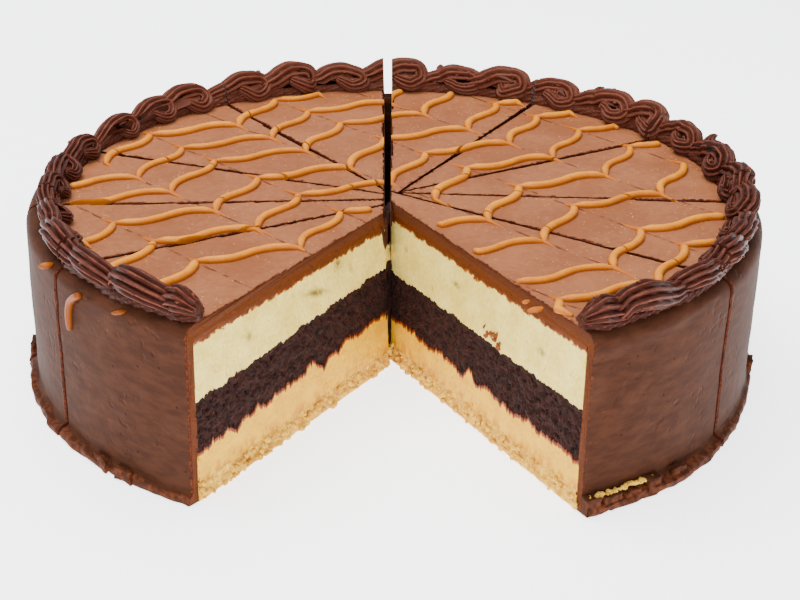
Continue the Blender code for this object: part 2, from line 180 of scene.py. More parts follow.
# The open faces: mesh spacing, crumbs, and the sponge's drips as (along, width, drop) in mm
FACE_STEP = 0.36 * MM
CRUST_CRUMBS = 150
RED_CRUMBS = 19
FOOT_CRUMBS = 70
GAP_CRUMBS = 90
DRIPS = {
    -1: ((45.0, 3.0, 3.4), (52.0, 3.5, -1.5)),
    1: ((50.0, 3.0, 2.2), (56.0, 2.2, -2.6), (84.0, 5.0, 1.2)),
}
# Stains on the vanilla cheesecake as (along, level, length, tall) in mm, and how strong each is
STAINS = {
    -1: (
        (49.0, 46.2, 6.5, 1.3, 1.0),
        (34.0, 52.0, 2.6, 1.9, 0.9),
        (25.0, 47.5, 1.4, 1.8, 0.5),
        (92.0, 45.5, 1.9, 1.7, 0.7),
    ),
    1: (
        (46.5, 46.5, 2.4, 1.1, 0.9),
        (30.0, 39.0, 1.0, 1.0, 0.5),
        (11.5, 46.5, 0.9, 1.2, 0.5),
        (99.5, 44.0, 1.9, 1.4, 0.8),
    ),
}
SLOTS = {
    "crust": "biscuit_crust",
    "caramel": "caramel_cheesecake",
    "sponge": "chocolate_sponge",
    "vanilla": "vanilla_cheesecake",
    "ganache": "chocolate_ganache",
    "border": "piped_chocolate",
}

# The camera stands where the photo's did
LENS = 78.3
EYE_DISTANCE = 4.9733 * RADIUS
EYE_ELEVATION = 0.4555
AIM = Vector((0.0189 * RADIUS, 0.0, 0.1307 * RADIUS))
CAMERA_LIFT = 2.8 * MM
CAMERA_ROLL = 0.019

# The light: each lamp's place and size in metres, its power and its colour
WORLD_COLOUR, WORLD_STRENGTH = (0.93, 0.96, 1.0), 0.85
LAMPS = (
    ("above", (-0.25, 0.16, 1.1), 0.9, 23.0, (1.0, 0.98, 0.95)),
    ("front", (0.1, -1.3, 0.75), 0.8, 17.0, (1.0, 0.98, 0.96)),
)
FLOOR_HALF_WIDTH = 3.0


# Places and planes on the cake


def around(azimuth, radius, height=0.0):
    """A point at a turn from the front, which is -Y, at a distance from the cake's axis."""
    return Vector((math.sin(azimuth) * radius, -math.cos(azimuth) * radius, height))


def turn_of(place):
    """The turn from the front at which a point lies."""
    return math.atan2(place.x, -place.y)


def cut_line(cut, side):
    """Where a cut starts beside the middle, its level direction to the rim, and the direction past it."""
    turn, inner_y = cut
    inner = Vector((side * BESIDE_MIDDLE, inner_y, 0.0))
    along = (around(math.radians(turn), RADIUS) - inner).normalized()
    return inner, along, Vector((-along.y, along.x, 0.0)) * side


def gap_face(side):
    """How far a block's face in the gap reaches back along its top, and down from there."""
    near_x, far_x, lean = GAP_FACES[side]
    return Vector((far_x - near_x, GAP_BACK_Y - GAP_TIPS_Y, 0.0)), Vector((lean, 0.0, -HEIGHT))


def gap_plane(side):
    """A point on a block's face in the gap, and the direction out of the block there."""
    back, down = gap_face(side)
    normal = back.cross(down).normalized()
    if normal.x * side > 0:
        normal = -normal
    return Vector((GAP_FACES[side][0], GAP_TIPS_Y, HEIGHT)), normal


def slice_planes(cuts, number, side):
    """The planes round one slice: beside the gap, past every cut before it and short of the next."""
    planes = [gap_plane(side)]
    for index, cut in enumerate(cuts[: number + 1]):
        if abs(cut[0]) == 180.0:
            continue
        inner, _, past = cut_line(cut, side)
        outward = past if index == number else -past
        trim = 0.0 if index == 0 else CUT_WIDTH / 2
        planes.append((inner - outward * trim, outward))
    return planes


def depth_inside(place, plane):
    """How far inside a plane of its slice a point lies."""
    point, outward = plane
    return -(place - point).dot(outward)


def waves(place, size, seed=0.0):
    """Soft noise from -1 to 1 whose lumps are about this big."""
    return noise.noise(place / size + Vector((seed, 3.1 * seed, -seed)))


def crumble(place, size, octaves=4, seed=0.0):
    """Rough noise with finer lumps on the coarse ones."""
    return noise.fractal(place / size + Vector((seed, -seed, 2.3 * seed)), 0.9, 2.1, octaves)


def between(value, low, high):
    """0 below the low value, 1 above the high one, and smooth between."""
    share = min(1.0, max(0.0, (value - low) / (high - low)))
    return share * share * (3.0 - 2.0 * share)


# Mesh work


def split(shape, point, outward, drop):
    """Cut a mesh through along a plane, and drop what lies outside it if asked."""
    whole = shape.verts[:] + shape.edges[:] + shape.faces[:]
    bmesh.ops.bisect_plane(
        shape, geom=whole, plane_co=point, plane_no=outward, dist=1e-7, clear_outer=drop
    )


def trim(shape, planes, sliced=None, open_face=None):
    """Cut a closed mesh by a slice's planes and close it again, and mark the cuts and the open face."""
    for number, (point, outward) in enumerate(planes):
        if all((vertex.co - point).dot(outward) < 0.0 for vertex in shape.verts):
            continue
        split(shape, point, outward, True)
        rim = [edge for edge in shape.edges if edge.is_boundary]
        caps = bmesh.ops.holes_fill(shape, edges=rim)["faces"]
        for cap in caps if sliced else ():
            cap[sliced] = 0.5 if number == open_face else 1.0


def finish(name, shape, material, node, sharp=SMOOTH_ANGLE, slot=None):
    """Turn a bmesh into the piece that dresses a node, at its place in the frame."""
    bmesh.ops.translate(shape, verts=shape.verts, vec=AXIS)
    for vertex in shape.verts:
        for axis, (least, most) in enumerate(zip(*solid_bounds)):
            vertex.co[axis] = min(max(vertex.co[axis], least), most)
    bmesh.ops.recalc_face_normals(shape, faces=shape.faces)
    mesh = bpy.data.meshes.new(name)
    shape.to_mesh(mesh)
    shape.free()
    mesh.materials.append(material)
    mesh.shade_smooth()
    mesh.set_sharp_from_angle(angle=math.radians(sharp))
    piece = put(name, mesh)
    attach(piece, "root")
    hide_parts(node)


def put(name, data):
    """A new object in the scene."""
    made = bpy.data.objects.new(name, data)
    bpy.context.scene.collection.objects.link(made)
    return made


def add_to(whole, part):
    """Add one bmesh to another and free it."""
    spare = bpy.data.meshes.new("spare")
    part.to_mesh(spare)
    part.free()
    whole.from_mesh(spare)
    bpy.data.meshes.remove(spare)


def fine_block(cuts):
    """A unit block with its faces cut finely."""
    shape = bmesh.new()
    bmesh.ops.create_cube(shape, size=1.0)
    bmesh.ops.subdivide_edges(shape, edges=shape.edges[:], cuts=cuts, use_grid_fill=True)
    return shape


def smooth_line(points, share):
    """A point on the smooth curve through some points, from 0 to 1 along it."""
    spans = len(points) - 1
    start = min(int(share * spans), spans - 1)
    t = share * spans - start
    before, first = points[max(start - 1, 0)], points[start]
    second, after = points[start + 1], points[min(start + 2, spans)]
    curve = []
    for a, b, c, d in zip(before, first, second, after):
        bend = 2 * a - 5 * b + 4 * c - d
        curve.append(0.5 * (2 * b + (c - a) * t + bend * t * t + (3 * b - a - 3 * c + d) * t**3))
    return curve


def sweep(stations, sides, section):
    """A closed rope. Stations are (place, radius), and section gives the outline's radius at a turn."""
    places = [place for place, _ in stations]
    tangents = []
    for index in range(len(places)):
        ahead = places[min(index + 1, len(places) - 1)]
        tangents.append((ahead - places[max(index - 1, 0)]).normalized())
    first = Vector((0.0, 0.0, 1.0))
    lift = (first - tangents[0] * first.dot(tangents[0])).normalized()
    frames = []
    for tangent in tangents:
        lift = (lift - tangent * lift.dot(tangent)).normalized()
        frames.append((lift.copy(), tangent.cross(lift)))
    shape = bmesh.new()
    crest = shape.verts.layers.float.new("crest")
    last = len(stations) - 1
    bmesh.ops.create_grid(shape, x_segments=last, y_segments=sides, size=0.5)
    for vertex in shape.verts:
        index = round((vertex.co.x + 0.5) * last)
        turn = (vertex.co.y + 0.5) * math.tau
        place, radius = stations[index]
        out, high = section(turn, index / last)
        up, across = frames[index]
        vertex.co = place + (up * math.cos(turn) + across * math.sin(turn)) * radius * out
        vertex[crest] = high
    bmesh.ops.remove_doubles(shape, verts=shape.verts, dist=2e-6)
    rim = [edge for edge in shape.edges if edge.is_boundary]
    bmesh.ops.holes_fill(shape, edges=rim)
    return shape


def lump(place, size, draw, rough=0.25):
    """A rounded crumb of the given sides, turned at random."""
    shape = bmesh.new()
    bmesh.ops.create_icosphere(shape, subdivisions=2, radius=0.5)
    seed = draw.uniform(0.0, 50.0)
    for vertex in shape.verts:
        vertex.co *= 1.0 + rough * waves(vertex.co, 0.45, seed)
    turned = Matrix.Rotation(draw.uniform(0.0, math.tau), 4, "Z")
    spin = turned @ Matrix.Rotation(draw.uniform(-0.5, 0.5), 4, "X")
    grow = Matrix.Diagonal((*size, 1.0))
    bmesh.ops.transform(shape, matrix=Matrix.Translation(place) @ spin @ grow, verts=shape.verts)
    return shape


# Materials


class Recipe:
    """A material's or a group's nodes, with short calls for the few kinds used here."""

    def __init__(self, tree):
        self.tree = tree

    def set(self, socket, value):
        """Link an output to a socket, or give it a plain value."""
        if isinstance(value, bpy.types.NodeSocket):
            self.tree.links.new(value, socket)
        else:
            socket.default_value = value

    def node(self, kind, inputs, **settings):
        """A node with its settings and its inputs by name or number."""
        made = self.tree.nodes.new(kind)
        for setting, value in settings.items():
            setattr(made, setting, value)
        for name, value in inputs.items():
            self.set(made.inputs[name], value)
        return made

    def math(self, operation, first, second=0.0):
        """A number worked out from two."""
        return self.node("ShaderNodeMath", {0: first, 1: second}, operation=operation).outputs[0]

    def times(self, first, second):
        """The product of two numbers."""
        return self.math("MULTIPLY", first, second)

    def plus(self, first, second):
        """The sum of two numbers."""
        return self.math("ADD", first, second)

    def minus(self, first, second):
        """The first number less the second."""
        return self.math("SUBTRACT", first, second)

    def ramp(self, value, low, high, out_low=0.0, out_high=1.0):
        """A smooth step from one value to another."""
        inputs = {"Value": value, "From Min": low, "From Max": high, "To Min": out_low, "To Max": out_high}
        return self.node("ShaderNodeMapRange", inputs, interpolation_type="SMOOTHSTEP").outputs[0]

    def mix(self, share, first, second):
        """One colour over another."""
        made = self.node("ShaderNodeMix", {0: share}, data_type="RGBA")
        self.set(made.inputs[6], first)
        self.set(made.inputs[7], second)
        return made.outputs[2]

    def noise(self, place, lump_size, detail=4.0, roughness=0.55, stretch=None):
        """Noise whose lumps are about this many metres."""
        if stretch:
            place = self.node("ShaderNodeMapping", {"Vector": place, "Scale": stretch}).outputs[0]
        inputs = {"Vector": place, "Scale": 1.0 / lump_size, "Detail": detail, "Roughness": roughness}
        return self.node("ShaderNodeTexNoise", inputs).outputs[0]

    def cells(self, place, cell_size):
        """The distance to the nearest of scattered points."""
        inputs = {"Vector": place, "Scale": 1.0 / cell_size}
        return self.node("ShaderNodeTexVoronoi", inputs).outputs["Distance"]

    def level(self, place):
        """How high a place lies."""
        return self.node("ShaderNodeSeparateXYZ", {0: place}).outputs[2]

    def attribute(self, name):
        """A value that the mesh carries."""
        return self.node("ShaderNodeAttribute", {}, attribute_name=name).outputs["Fac"]

    def paint(self, shader, colour, height, depth, strength=0.6):
        """Give a shader its colour and a fine relief this deep."""
        self.set(shader.inputs["Base Color"], colour)
        inputs = {"Height": height, "Distance": depth, "Strength": strength}
        self.set(shader.inputs["Normal"], self.node("ShaderNodeBump", inputs).outputs[0])

    def group(self, group, inputs):
        """One of the shared effects."""
        made = self.tree.nodes.new("ShaderNodeGroup")
        made.node_tree = group
        for name, value in inputs.items():
            self.set(made.inputs[name], value)
        return made.outputs


def seen(red, green, blue):
    """A colour as it is seen, from 0 to 255, for a shader."""
    return (*(((channel / 255.0 + 0.055) / 1.055) ** 2.4 for channel in (red, green, blue)), 1.0)


def new_material(name, roughness, specular):
    """A material, its recipe and the place on the cake to read patterns at."""
    material = bpy.data.materials.new(name)
    material.use_nodes = True
    recipe = Recipe(material.node_tree)
    shader = material.node_tree.nodes["Principled BSDF"]
    shader.inputs["Roughness"].default_value = roughness
    shader.inputs["Specular IOR Level"].default_value = specular
    shown = recipe.node("ShaderNodeTexCoord", {}).outputs["Object"]
    place = recipe.node("ShaderNodeMapping", {"Vector": shown, "Location": -AXIS}).outputs[0]
    return material, recipe, shader, place


def warm_sheen(shader):
    """Tint the sheen as melted cocoa fat does."""
    shader.inputs["Specular Tint"].default_value = (1.0, 0.72, 0.6, 1.0)


def soften(shader, weight, radius, scale):
    """Let light soak into a creamy food."""
    shader.inputs["Subsurface Weight"].default_value = weight
    shader.inputs["Subsurface Radius"].default_value = radius
    shader.inputs["Subsurface Scale"].default_value = scale


def make_mottle():
    """A shared effect: coarse and fine noise in one value, as uneven food has."""
    group = bpy.data.node_groups.new("mottle", "ShaderNodeTree")
    for name, kind, value in (
        ("Place", "NodeSocketVector", None),
        ("Coarse", "NodeSocketFloat", 60.0),
        ("Fine", "NodeSocketFloat", 600.0),
        ("Fine share", "NodeSocketFloat", 0.4),
    ):
        socket = group.interface.new_socket(name, in_out="INPUT", socket_type=kind)
        if value is not None:
            socket.default_value = value
    group.interface.new_socket("Value", in_out="OUTPUT", socket_type="NodeSocketFloat")
    recipe = Recipe(group)
    given = recipe.node("NodeGroupInput", {}).outputs
    mixed = {0: given[3]}
    for number, detail in ((1, 4.0), (2, 3.0)):
        inputs = {"Vector": given[0], "Scale": given[number], "Detail": detail}
        mixed[number + 1] = recipe.node("ShaderNodeTexNoise", inputs).outputs[0]
    made = recipe.node("ShaderNodeMix", mixed, data_type="FLOAT")
    recipe.node("NodeGroupOutput", {0: made.outputs[0]})
    return group


def mottled(recipe, place, coarse, fine, share):
    """The shared mottle, its lumps given as sizes in metres."""
    inputs = {"Place": place, "Coarse": 1.0 / coarse, "Fine": 1.0 / fine, "Fine share": share}
    return recipe.group(MOTTLE, inputs)["Value"]


def coat_material():
    """Poured milk chocolate: one chocolate with the top painted lighter as painted light and reflection and
    the wall painted darker as painted shade, matt and pitted down the wall, torn along the cuts, with painted
    shade in the pits, the pull grooves and the cuts.
    """
    material, recipe, shader, place = new_material("poured_chocolate", 0.5, 0.07)
    spot = recipe.node("ShaderNodeSeparateXYZ", {0: place}).outputs
    on_top = recipe.ramp(spot[2], HEIGHT - 0.55 * MM, HEIGHT - 0.2 * MM)
    level_place = recipe.node("ShaderNodeCombineXYZ", {0: spot[0], 1: spot[1]}).outputs[0]
    out = recipe.node("ShaderNodeVectorMath", {0: level_place}, operation="LENGTH").outputs["Value"]
    # The lit top fades into the shaded wall colour towards the rim.
    on_top = recipe.times(on_top, recipe.ramp(out, *TOP_FADE))
    mottle = mottled(recipe, place, 26 * MM, 2.2 * MM, 0.35)
    shade = recipe.ramp(mottle, 0.35, 0.68)
    # Painted light: the top is a lit copy of the chocolate, lighter for the light from above and the bright
    # room it reflects.
    top = recipe.mix(shade, seen(128, 75, 46), seen(146, 91, 60))
    flecks = recipe.ramp(recipe.cells(place, 1.9 * MM), 0.2, 0.1)
    sparse = recipe.ramp(recipe.noise(place, 7 * MM), 0.42, 0.62)
    flecks = recipe.times(flecks, sparse)
    top = recipe.mix(flecks, top, seen(204, 138, 84))
    streaks = recipe.noise(place, 7 * MM, stretch=(1.0, 1.0, 3.2))
    # Painted shade: the wall is a darker, shaded copy of the same chocolate.
    wall = recipe.mix(recipe.ramp(streaks, 0.3, 0.72), seen(53, 28, 17), seen(67, 37, 23))
    haze = recipe.ramp(recipe.noise(place, 19 * MM, 5.0, 0.62, (1.0, 1.0, 1.7)), 0.52, 0.7)
    wall = recipe.mix(recipe.times(haze, 0.12), wall, seen(104, 68, 50))
    pits = recipe.ramp(recipe.cells(place, 5.5 * MM), 0.11, 0.06)
    # Painted shade: the wall is darkened in its pits.
    wall = recipe.mix(recipe.times(pits, 0.75), wall, seen(44, 17, 9))
    smeared_foot = recipe.ramp(spot[2], LIP_HEIGHT + 1.0 * MM, LIP_HEIGHT - 1.0 * MM)
    proud = recipe.ramp(out, FOOT_RADIUS + 0.3 * MM, FOOT_RADIUS + 1.2 * MM)
    smeared_foot = recipe.times(smeared_foot, proud)
    crumbly = recipe.ramp(recipe.noise(place, 2.2 * MM, 5.0), 0.4, 0.62)
    foot = recipe.mix(crumbly, seen(58, 30, 18), seen(90, 47, 29))
    wall = recipe.mix(smeared_foot, wall, foot)
    # Painted light and shade: the lit top colour over the shaded wall colour.
    colour = recipe.mix(on_top, wall, top)
    across = recipe.times(recipe.plus(spot[0], spot[1]), math.sqrt(0.5))
    wander = recipe.times(recipe.minus(recipe.noise(place, 14 * MM), 0.5), 3.0 * MM)
    across = recipe.plus(recipe.minus(across, FIRST_PULL), wander)
    pulls = recipe.math("PINGPONG", across, PULL_SPACING / 2)
    drag = recipe.ramp(pulls, 0.75 * MM, 0.2 * MM)
    broken = recipe.ramp(recipe.noise(place, 6 * MM), 0.42, 0.58)
    drag = recipe.times(recipe.times(drag, broken), on_top)
    # Painted shade: the coat is painted darker along the pull grooves, as the shade in them.
    colour = recipe.mix(recipe.times(drag, 0.85), colour, seen(78, 34, 18))
    torn = recipe.attribute("torn")
    ragged = recipe.ramp(recipe.plus(torn, recipe.noise(place, 1.3 * MM)), 0.9, 1.2)
    red = recipe.ramp(recipe.noise(place, 0.9 * MM), 0.4, 0.65)
    red = recipe.mix(red, seen(62, 27, 17), seen(110, 50, 26))
    colour = recipe.mix(ragged, colour, red)
    # Painted shade: the coat's edge where it dips into a cut is painted dark, as the shade in the cut.
    colour = recipe.mix(recipe.ramp(torn, 0.75, 0.95), colour, seen(62, 27, 19))
    sliced = recipe.attribute("sliced")
    level = recipe.plus(spot[2], recipe.times(recipe.noise(place, 4 * MM, 5.0), 3.4 * MM))
    under = recipe.times(recipe.ramp(level, *RUST_LEVELS), recipe.ramp(spot[2], *SLAB_BOTTOM))
    strip = recipe.ramp(recipe.noise(place, 1.8 * MM, 4.0), 0.55, 0.62)
    strip = recipe.times(strip, recipe.ramp(spot[2], *STRIP_LEVELS))
    face = recipe.mix(mottle, seen(74, 38, 22), seen(94, 51, 30))
    rust = recipe.mix(recipe.noise(place, 1.7 * MM, 5.0), seen(74, 36, 16), seen(104, 50, 14))
    face = recipe.mix(under, face, rust)
    face = recipe.mix(strip, face, seen(100, 46, 24))
    colour = recipe.mix(recipe.ramp(sliced, 0.2, 0.4), colour, face)
    # Painted shade: the cut faces inside the narrow cuts between slices are painted very dark.
    colour = recipe.mix(recipe.ramp(sliced, 0.6, 0.9), colour, seen(56, 24, 17))
    recipe.set(shader.inputs["Roughness"], recipe.ramp(on_top, 0.0, 1.0, 0.66, 0.46))
    dents = recipe.ramp(recipe.noise(place, 3.6 * MM, 1.0, 0.4), 0.58, 0.76)
    dents = recipe.times(dents, recipe.ramp(recipe.noise(place, 22 * MM), 0.44, 0.6))
    dents = recipe.times(dents, recipe.ramp(on_top, 1.0, 0.0))
    height = recipe.minus(mottle, recipe.times(pits, 0.7))
    height = recipe.minus(height, recipe.times(dents, 1.3))
    height = recipe.minus(height, recipe.times(drag, 0.6))
    height = recipe.plus(height, recipe.times(ragged, recipe.noise(place, 0.7 * MM)))
    recipe.paint(shader, colour, height, 0.45 * MM)
    warm_sheen(shader)
    return material


def piping_material():
    """Very dark piped chocolate whose ridge crests are painted redder and lighter as a painted highlight, and
    which is painted lighter towards the back as painted light.
    """
    material, recipe, shader, place = new_material("piped_chocolate", 0.5, 0.13)
    mottle = mottled(recipe, place, 8 * MM, 0.8 * MM, 0.4)
    dark = recipe.mix(mottle, seen(40, 15, 11), seen(66, 30, 22))
    crest = recipe.attribute("crest")
    crest_highlight = recipe.ramp(recipe.plus(crest, recipe.noise(place, 3.0 * MM, 5.0, 0.65)), 1.15, 1.75)
    # Painted highlight: the ridge crests are painted redder and lighter.
    colour = recipe.mix(crest_highlight, dark, seen(118, 60, 43))
    # Painted light: the rim is painted lighter towards the back, for the light that falls there from behind
    # and above.
    behind = recipe.ramp(recipe.node("ShaderNodeSeparateXYZ", {0: place}).outputs[1], 0.0, 90 * MM)
    colour = recipe.mix(recipe.times(behind, 0.42), colour, seen(112, 62, 46))
    recipe.set(shader.inputs["Roughness"], recipe.ramp(crest_highlight, 0.0, 1.0, 0.42, 0.6))
    recipe.paint(shader, colour, mottle, 0.3 * MM)
    warm_sheen(shader)
    return material


def caramel_line_material():
    """Set caramel sauce: bright orange, with a painted highlight along the crown of each line and painted
    shade down its lower sides and sunken tails, smudged near the ends and darker below the top of the cake.
    """
    material, recipe, shader, place = new_material("caramel_sauce", 0.42, 0.18)
    mottle = mottled(recipe, place, 7 * MM, 0.9 * MM, 0.35)
    colour = recipe.mix(recipe.ramp(mottle, 0.35, 0.65), seen(186, 104, 0), seen(208, 126, 0))
    height = recipe.level(place)
    # Painted highlight: the crown of each line is painted paler.
    crown = recipe.ramp(height, HEIGHT + 1.5 * MM, HEIGHT + 2.4 * MM)
    colour = recipe.mix(recipe.times(crown, 0.6), colour, seen(230, 158, 22))
    # Painted shade: the lower sides of each line are painted deeper orange.
    low = recipe.ramp(height, HEIGHT + 1.6 * MM, HEIGHT + 0.5 * MM)
    smudge = recipe.ramp(recipe.attribute("crest"), 0.72, 1.0)
    colour = recipe.mix(recipe.times(smudge, 0.45), colour, seen(172, 108, 36))
    colour = recipe.mix(recipe.times(low, 0.8), colour, seen(156, 78, 0))
    colour = recipe.mix(recipe.ramp(height, HEIGHT - 0.2 * MM, HEIGHT - 1.2 * MM), colour, seen(122, 58, 0))
    recipe.paint(shader, colour, mottle, 0.25 * MM, 0.5)
    soften(shader, 0.06, (1.0, 0.5, 0.15), 0.8 * MM)
    return material


def vanilla_material():
    """Pale cheesecake with a torn orange-brown band of caramel under the chocolate."""
    material, recipe, shader, place = new_material("vanilla_cheesecake", 0.55, 0.16)
    mottle = mottled(recipe, place, 9 * MM, 1.2 * MM, 0.4)
    colour = recipe.mix(recipe.ramp(mottle, 0.3, 0.7), seen(214, 186, 84), seen(240, 218, 122))
    pores = recipe.ramp(recipe.cells(place, 3.1 * MM), 0.12, 0.05)
    pores = recipe.times(pores, recipe.ramp(recipe.noise(place, 9 * MM), 0.42, 0.6))
    colour = recipe.mix(recipe.times(pores, 0.5), colour, seen(170, 146, 84))
    stain = recipe.times(recipe.attribute("stain"), recipe.ramp(recipe.noise(place, 2.0 * MM), 0.3, 0.5))
    colour = recipe.mix(stain, colour, seen(104, 84, 34))
    height = recipe.level(place)
    ragged = recipe.times(recipe.noise(place, 3.6 * MM, 6.0, 0.72), 6.5 * MM)
    above = recipe.minus(recipe.plus(height, ragged), VANILLA_TOP + 1.4 * MM)
    smear = recipe.ramp(above, -0.5 * MM, 0.25 * MM)
    brown = recipe.ramp(above, 0.15 * MM, 1.1 * MM)
    orange = recipe.mix(recipe.noise(place, 1.6 * MM), seen(138, 60, 0), seen(96, 38, 2))
    colour = recipe.mix(smear, colour, orange)
    browns = recipe.mix(recipe.noise(place, 1.2 * MM), seen(96, 42, 6), seen(70, 30, 10))
    colour = recipe.mix(brown, colour, browns)
    recipe.paint(shader, colour, mottle, 0.35 * MM)
    soften(shader, 0.08, (1.0, 0.85, 0.5), 1.2 * MM)
    return material


def caramel_layer_material():
    """Tan caramel cheesecake, rust-edged under the sponge and golden near the crust."""
    material, recipe, shader, place = new_material("caramel_cheesecake", 0.52, 0.16)
    mottle = mottled(recipe, place, 8 * MM, 1.1 * MM, 0.4)
    colour = recipe.mix(recipe.ramp(mottle, 0.3, 0.7), seen(206, 148, 4), seen(230, 178, 18))
    height = recipe.level(place)
    low = recipe.ramp(height, CRUST_TOP + 5.5 * MM, CRUST_TOP + 0.5 * MM)
    drips = recipe.ramp(recipe.noise(place, 3.0 * MM, 5.0, 0.6, (1.0, 1.0, 0.45)), 0.45, 0.62)
    colour = recipe.mix(recipe.times(low, drips), colour, seen(188, 122, 2))
    halo = recipe.plus(recipe.attribute("below_sponge"), recipe.noise(place, 1.5 * MM))
    colour = recipe.mix(recipe.ramp(halo, 0.78, 1.08), colour, seen(158, 74, 0))
    colour = recipe.mix(recipe.ramp(halo, 1.05, 1.3), colour, seen(112, 42, 4))
    recipe.paint(shader, colour, mottle, 0.35 * MM)
    soften(shader, 0.08, (1.0, 0.75, 0.4), 1.2 * MM)
    return material


def sponge_material():
    """Dark chocolate sponge with an open crumb."""
    material, recipe, shader, place = new_material("chocolate_sponge", 0.85, 0.12)
    mottle = mottled(recipe, place, 2.6 * MM, 0.7 * MM, 0.5)
    colour = recipe.mix(recipe.ramp(mottle, 0.3, 0.7), seen(16, 7, 6), seen(54, 27, 22))
    glints = recipe.ramp(recipe.cells(place, 3.4 * MM), 0.09, 0.04)
    colour = recipe.mix(recipe.times(glints, 0.45), colour, seen(92, 56, 50))
    holes = recipe.ramp(recipe.cells(place, 1.9 * MM), 0.45, 0.15)
    height = recipe.minus(mottle, recipe.times(holes, 0.5))
    recipe.paint(shader, colour, height, 0.8 * MM, 0.8)
    return material


def crust_material():
    """Golden biscuit crumbs pressed together."""
    material, recipe, shader, place = new_material("biscuit_crust", 0.8, 0.3)
    mottle = mottled(recipe, place, 3.4 * MM, 0.8 * MM, 0.5)
    colour = recipe.mix(recipe.ramp(mottle, 0.32, 0.68), seen(182, 126, 30), seen(232, 188, 68))
    toasted = recipe.ramp(recipe.noise(place, 4.2 * MM, 5.0, 0.65), 0.56, 0.7)
    colour = recipe.mix(recipe.times(toasted, 0.7), colour, seen(150, 78, 16))
    height = recipe.plus(mottle, recipe.times(recipe.cells(place, 1.4 * MM), 0.5))
    recipe.paint(shader, colour, height, 0.7 * MM, 0.8)
    soften(shader, 0.08, (1.0, 0.6, 0.25), 1.5 * MM)
    return material


def rust_material():
    """Reddish crumbs of soaked sponge."""
    material, recipe, shader, place = new_material("soaked_crumb", 0.6, 0.2)
    mottle = mottled(recipe, place, 2.0 * MM, 0.6 * MM, 0.5)
    colour = recipe.mix(recipe.ramp(mottle, 0.35, 0.65), seen(96, 42, 12), seen(136, 68, 22))
    recipe.paint(shader, colour, mottle, 0.3 * MM)
    return material


def floor_material():
    """The pale surface that the cake is shown on."""
    material, recipe, shader, place = new_material("pale_floor", 0.6, 0.3)
    shade = recipe.noise(place, 0.6, 2.0)
    recipe.set(shader.inputs["Base Color"], recipe.mix(shade, seen(238, 240, 242), seen(246, 247, 248)))
    shader.inputs["Emission Color"].default_value = (0.97, 0.98, 1.0, 1.0)
    shader.inputs["Emission Strength"].default_value = 2.6
    return material


# The chocolate coat


def coat_outline():
    """The coat's section from the axis over the top, down the wall and back inside."""
    edge = RADIUS - EDGE_ROUNDING
    points = [(edge * ring / TOP_RINGS, HEIGHT) for ring in range(TOP_RINGS)]
    for step in range(7):
        turn = math.radians(15.0 * step)
        fall = EDGE_ROUNDING * (1.0 - math.cos(turn))
        points.append((edge + EDGE_ROUNDING * math.sin(turn), HEIGHT - fall))
    top, bottom = HEIGHT - EDGE_ROUNDING, LIP_HEIGHT
    for ring in range(1, WALL_RINGS):
        share = ring / WALL_RINGS
        points.append((RADIUS + (FOOT_RADIUS - RADIUS) * share, top + (bottom - top) * share))
    for share, proud in LIP_SHAPE:
        points.append((FOOT_RADIUS + LIP_PROUD * proud, FLOOR_GAP + (LIP_HEIGHT - FLOOR_GAP) * share))
    points.append((FOOT_RADIUS - WALL_THICKNESS, FLOOR_GAP))
    points.append((RADIUS - WALL_THICKNESS, VANILLA_TOP + CLEARANCE))
    points.append((0.0, VANILLA_TOP + CLEARANCE))
    return points


def lip_proud(turn):
    """How far the smeared foot stands out at a turn from the front."""
    return LIP_PROUD + sum(depth * math.sin(lobes * turn + start) for lobes, start, depth in LIP_WAVES)


def coat_place(place):
    """Where a point of the smooth coat goes once it is poured, smeared and pushed about."""
    out = place.xy.length
    turn = turn_of(place)
    if out > FOOT_RADIUS + 0.05 * MM and place.z < LIP_HEIGHT:
        proud = (out - FOOT_RADIUS) / LIP_PROUD
        rough = 1.0 + 0.35 * waves(place, 5.0 * MM) + 0.2 * waves(place, 1.8 * MM)
        out = FOOT_RADIUS + proud * min(lip_proud(turn) * rough, lip_proud(turn) + 0.6 * MM)
        rise = FLOOR_GAP + (place.z - FLOOR_GAP) * (0.75 + 0.35 * waves(around(turn, RADIUS), 9.0 * MM, 5.0))
        return around(turn, out, rise)
    if out > RADIUS - EDGE_ROUNDING - 1.0 * MM:
        degrees = math.degrees(turn)
        swell = 0.3 * waves(place, 21 * MM) + 0.14 * waves(place, 6 * MM) + 0.06 * crumble(place, 2.2 * MM)
        edge = SMEAR_HEIGHT + (0.22 * (degrees - SMEAR_TURNS[0]) + 0.5 * waves(place, 12 * MM)) * MM
        here = between(-degrees, -SMEAR_TURNS[1] - 4.0, -SMEAR_TURNS[1]) if degrees > 0 else 0.0
        layer = between(place.z, edge - 0.7 * MM, edge + 0.7 * MM) * here
        return place + around(turn, 1.0) * (min(swell, 0.35) - 0.35 + 0.55 * layer) * MM
    if place.z > HEIGHT - 1e-6:
        return place + Vector((0.0, 0.0, (0.13 * waves(place, 17 * MM) + 0.04 * waves(place, 4 * MM)) * MM))
    return place


def whole_coat():
    """The coat all the way round, worked by hand."""
    shape = bmesh.new()
    points = [shape.verts.new((out, 0.0, height)) for out, height in coat_outline()]
    lines = [shape.edges.new(pair) for pair in zip(points, points[1:])]
    bmesh.ops.spin(
        shape,
        geom=points + lines,
        cent=(0, 0, 0),
        axis=(0, 0, 1),
        angle=math.tau,
        steps=COAT_TURNS,
        use_merge=True,
    )
    bmesh.ops.remove_doubles(shape, verts=shape.verts, dist=1e-6)
    for vertex in shape.verts:
        vertex.co = coat_place(vertex.co)
    return shape


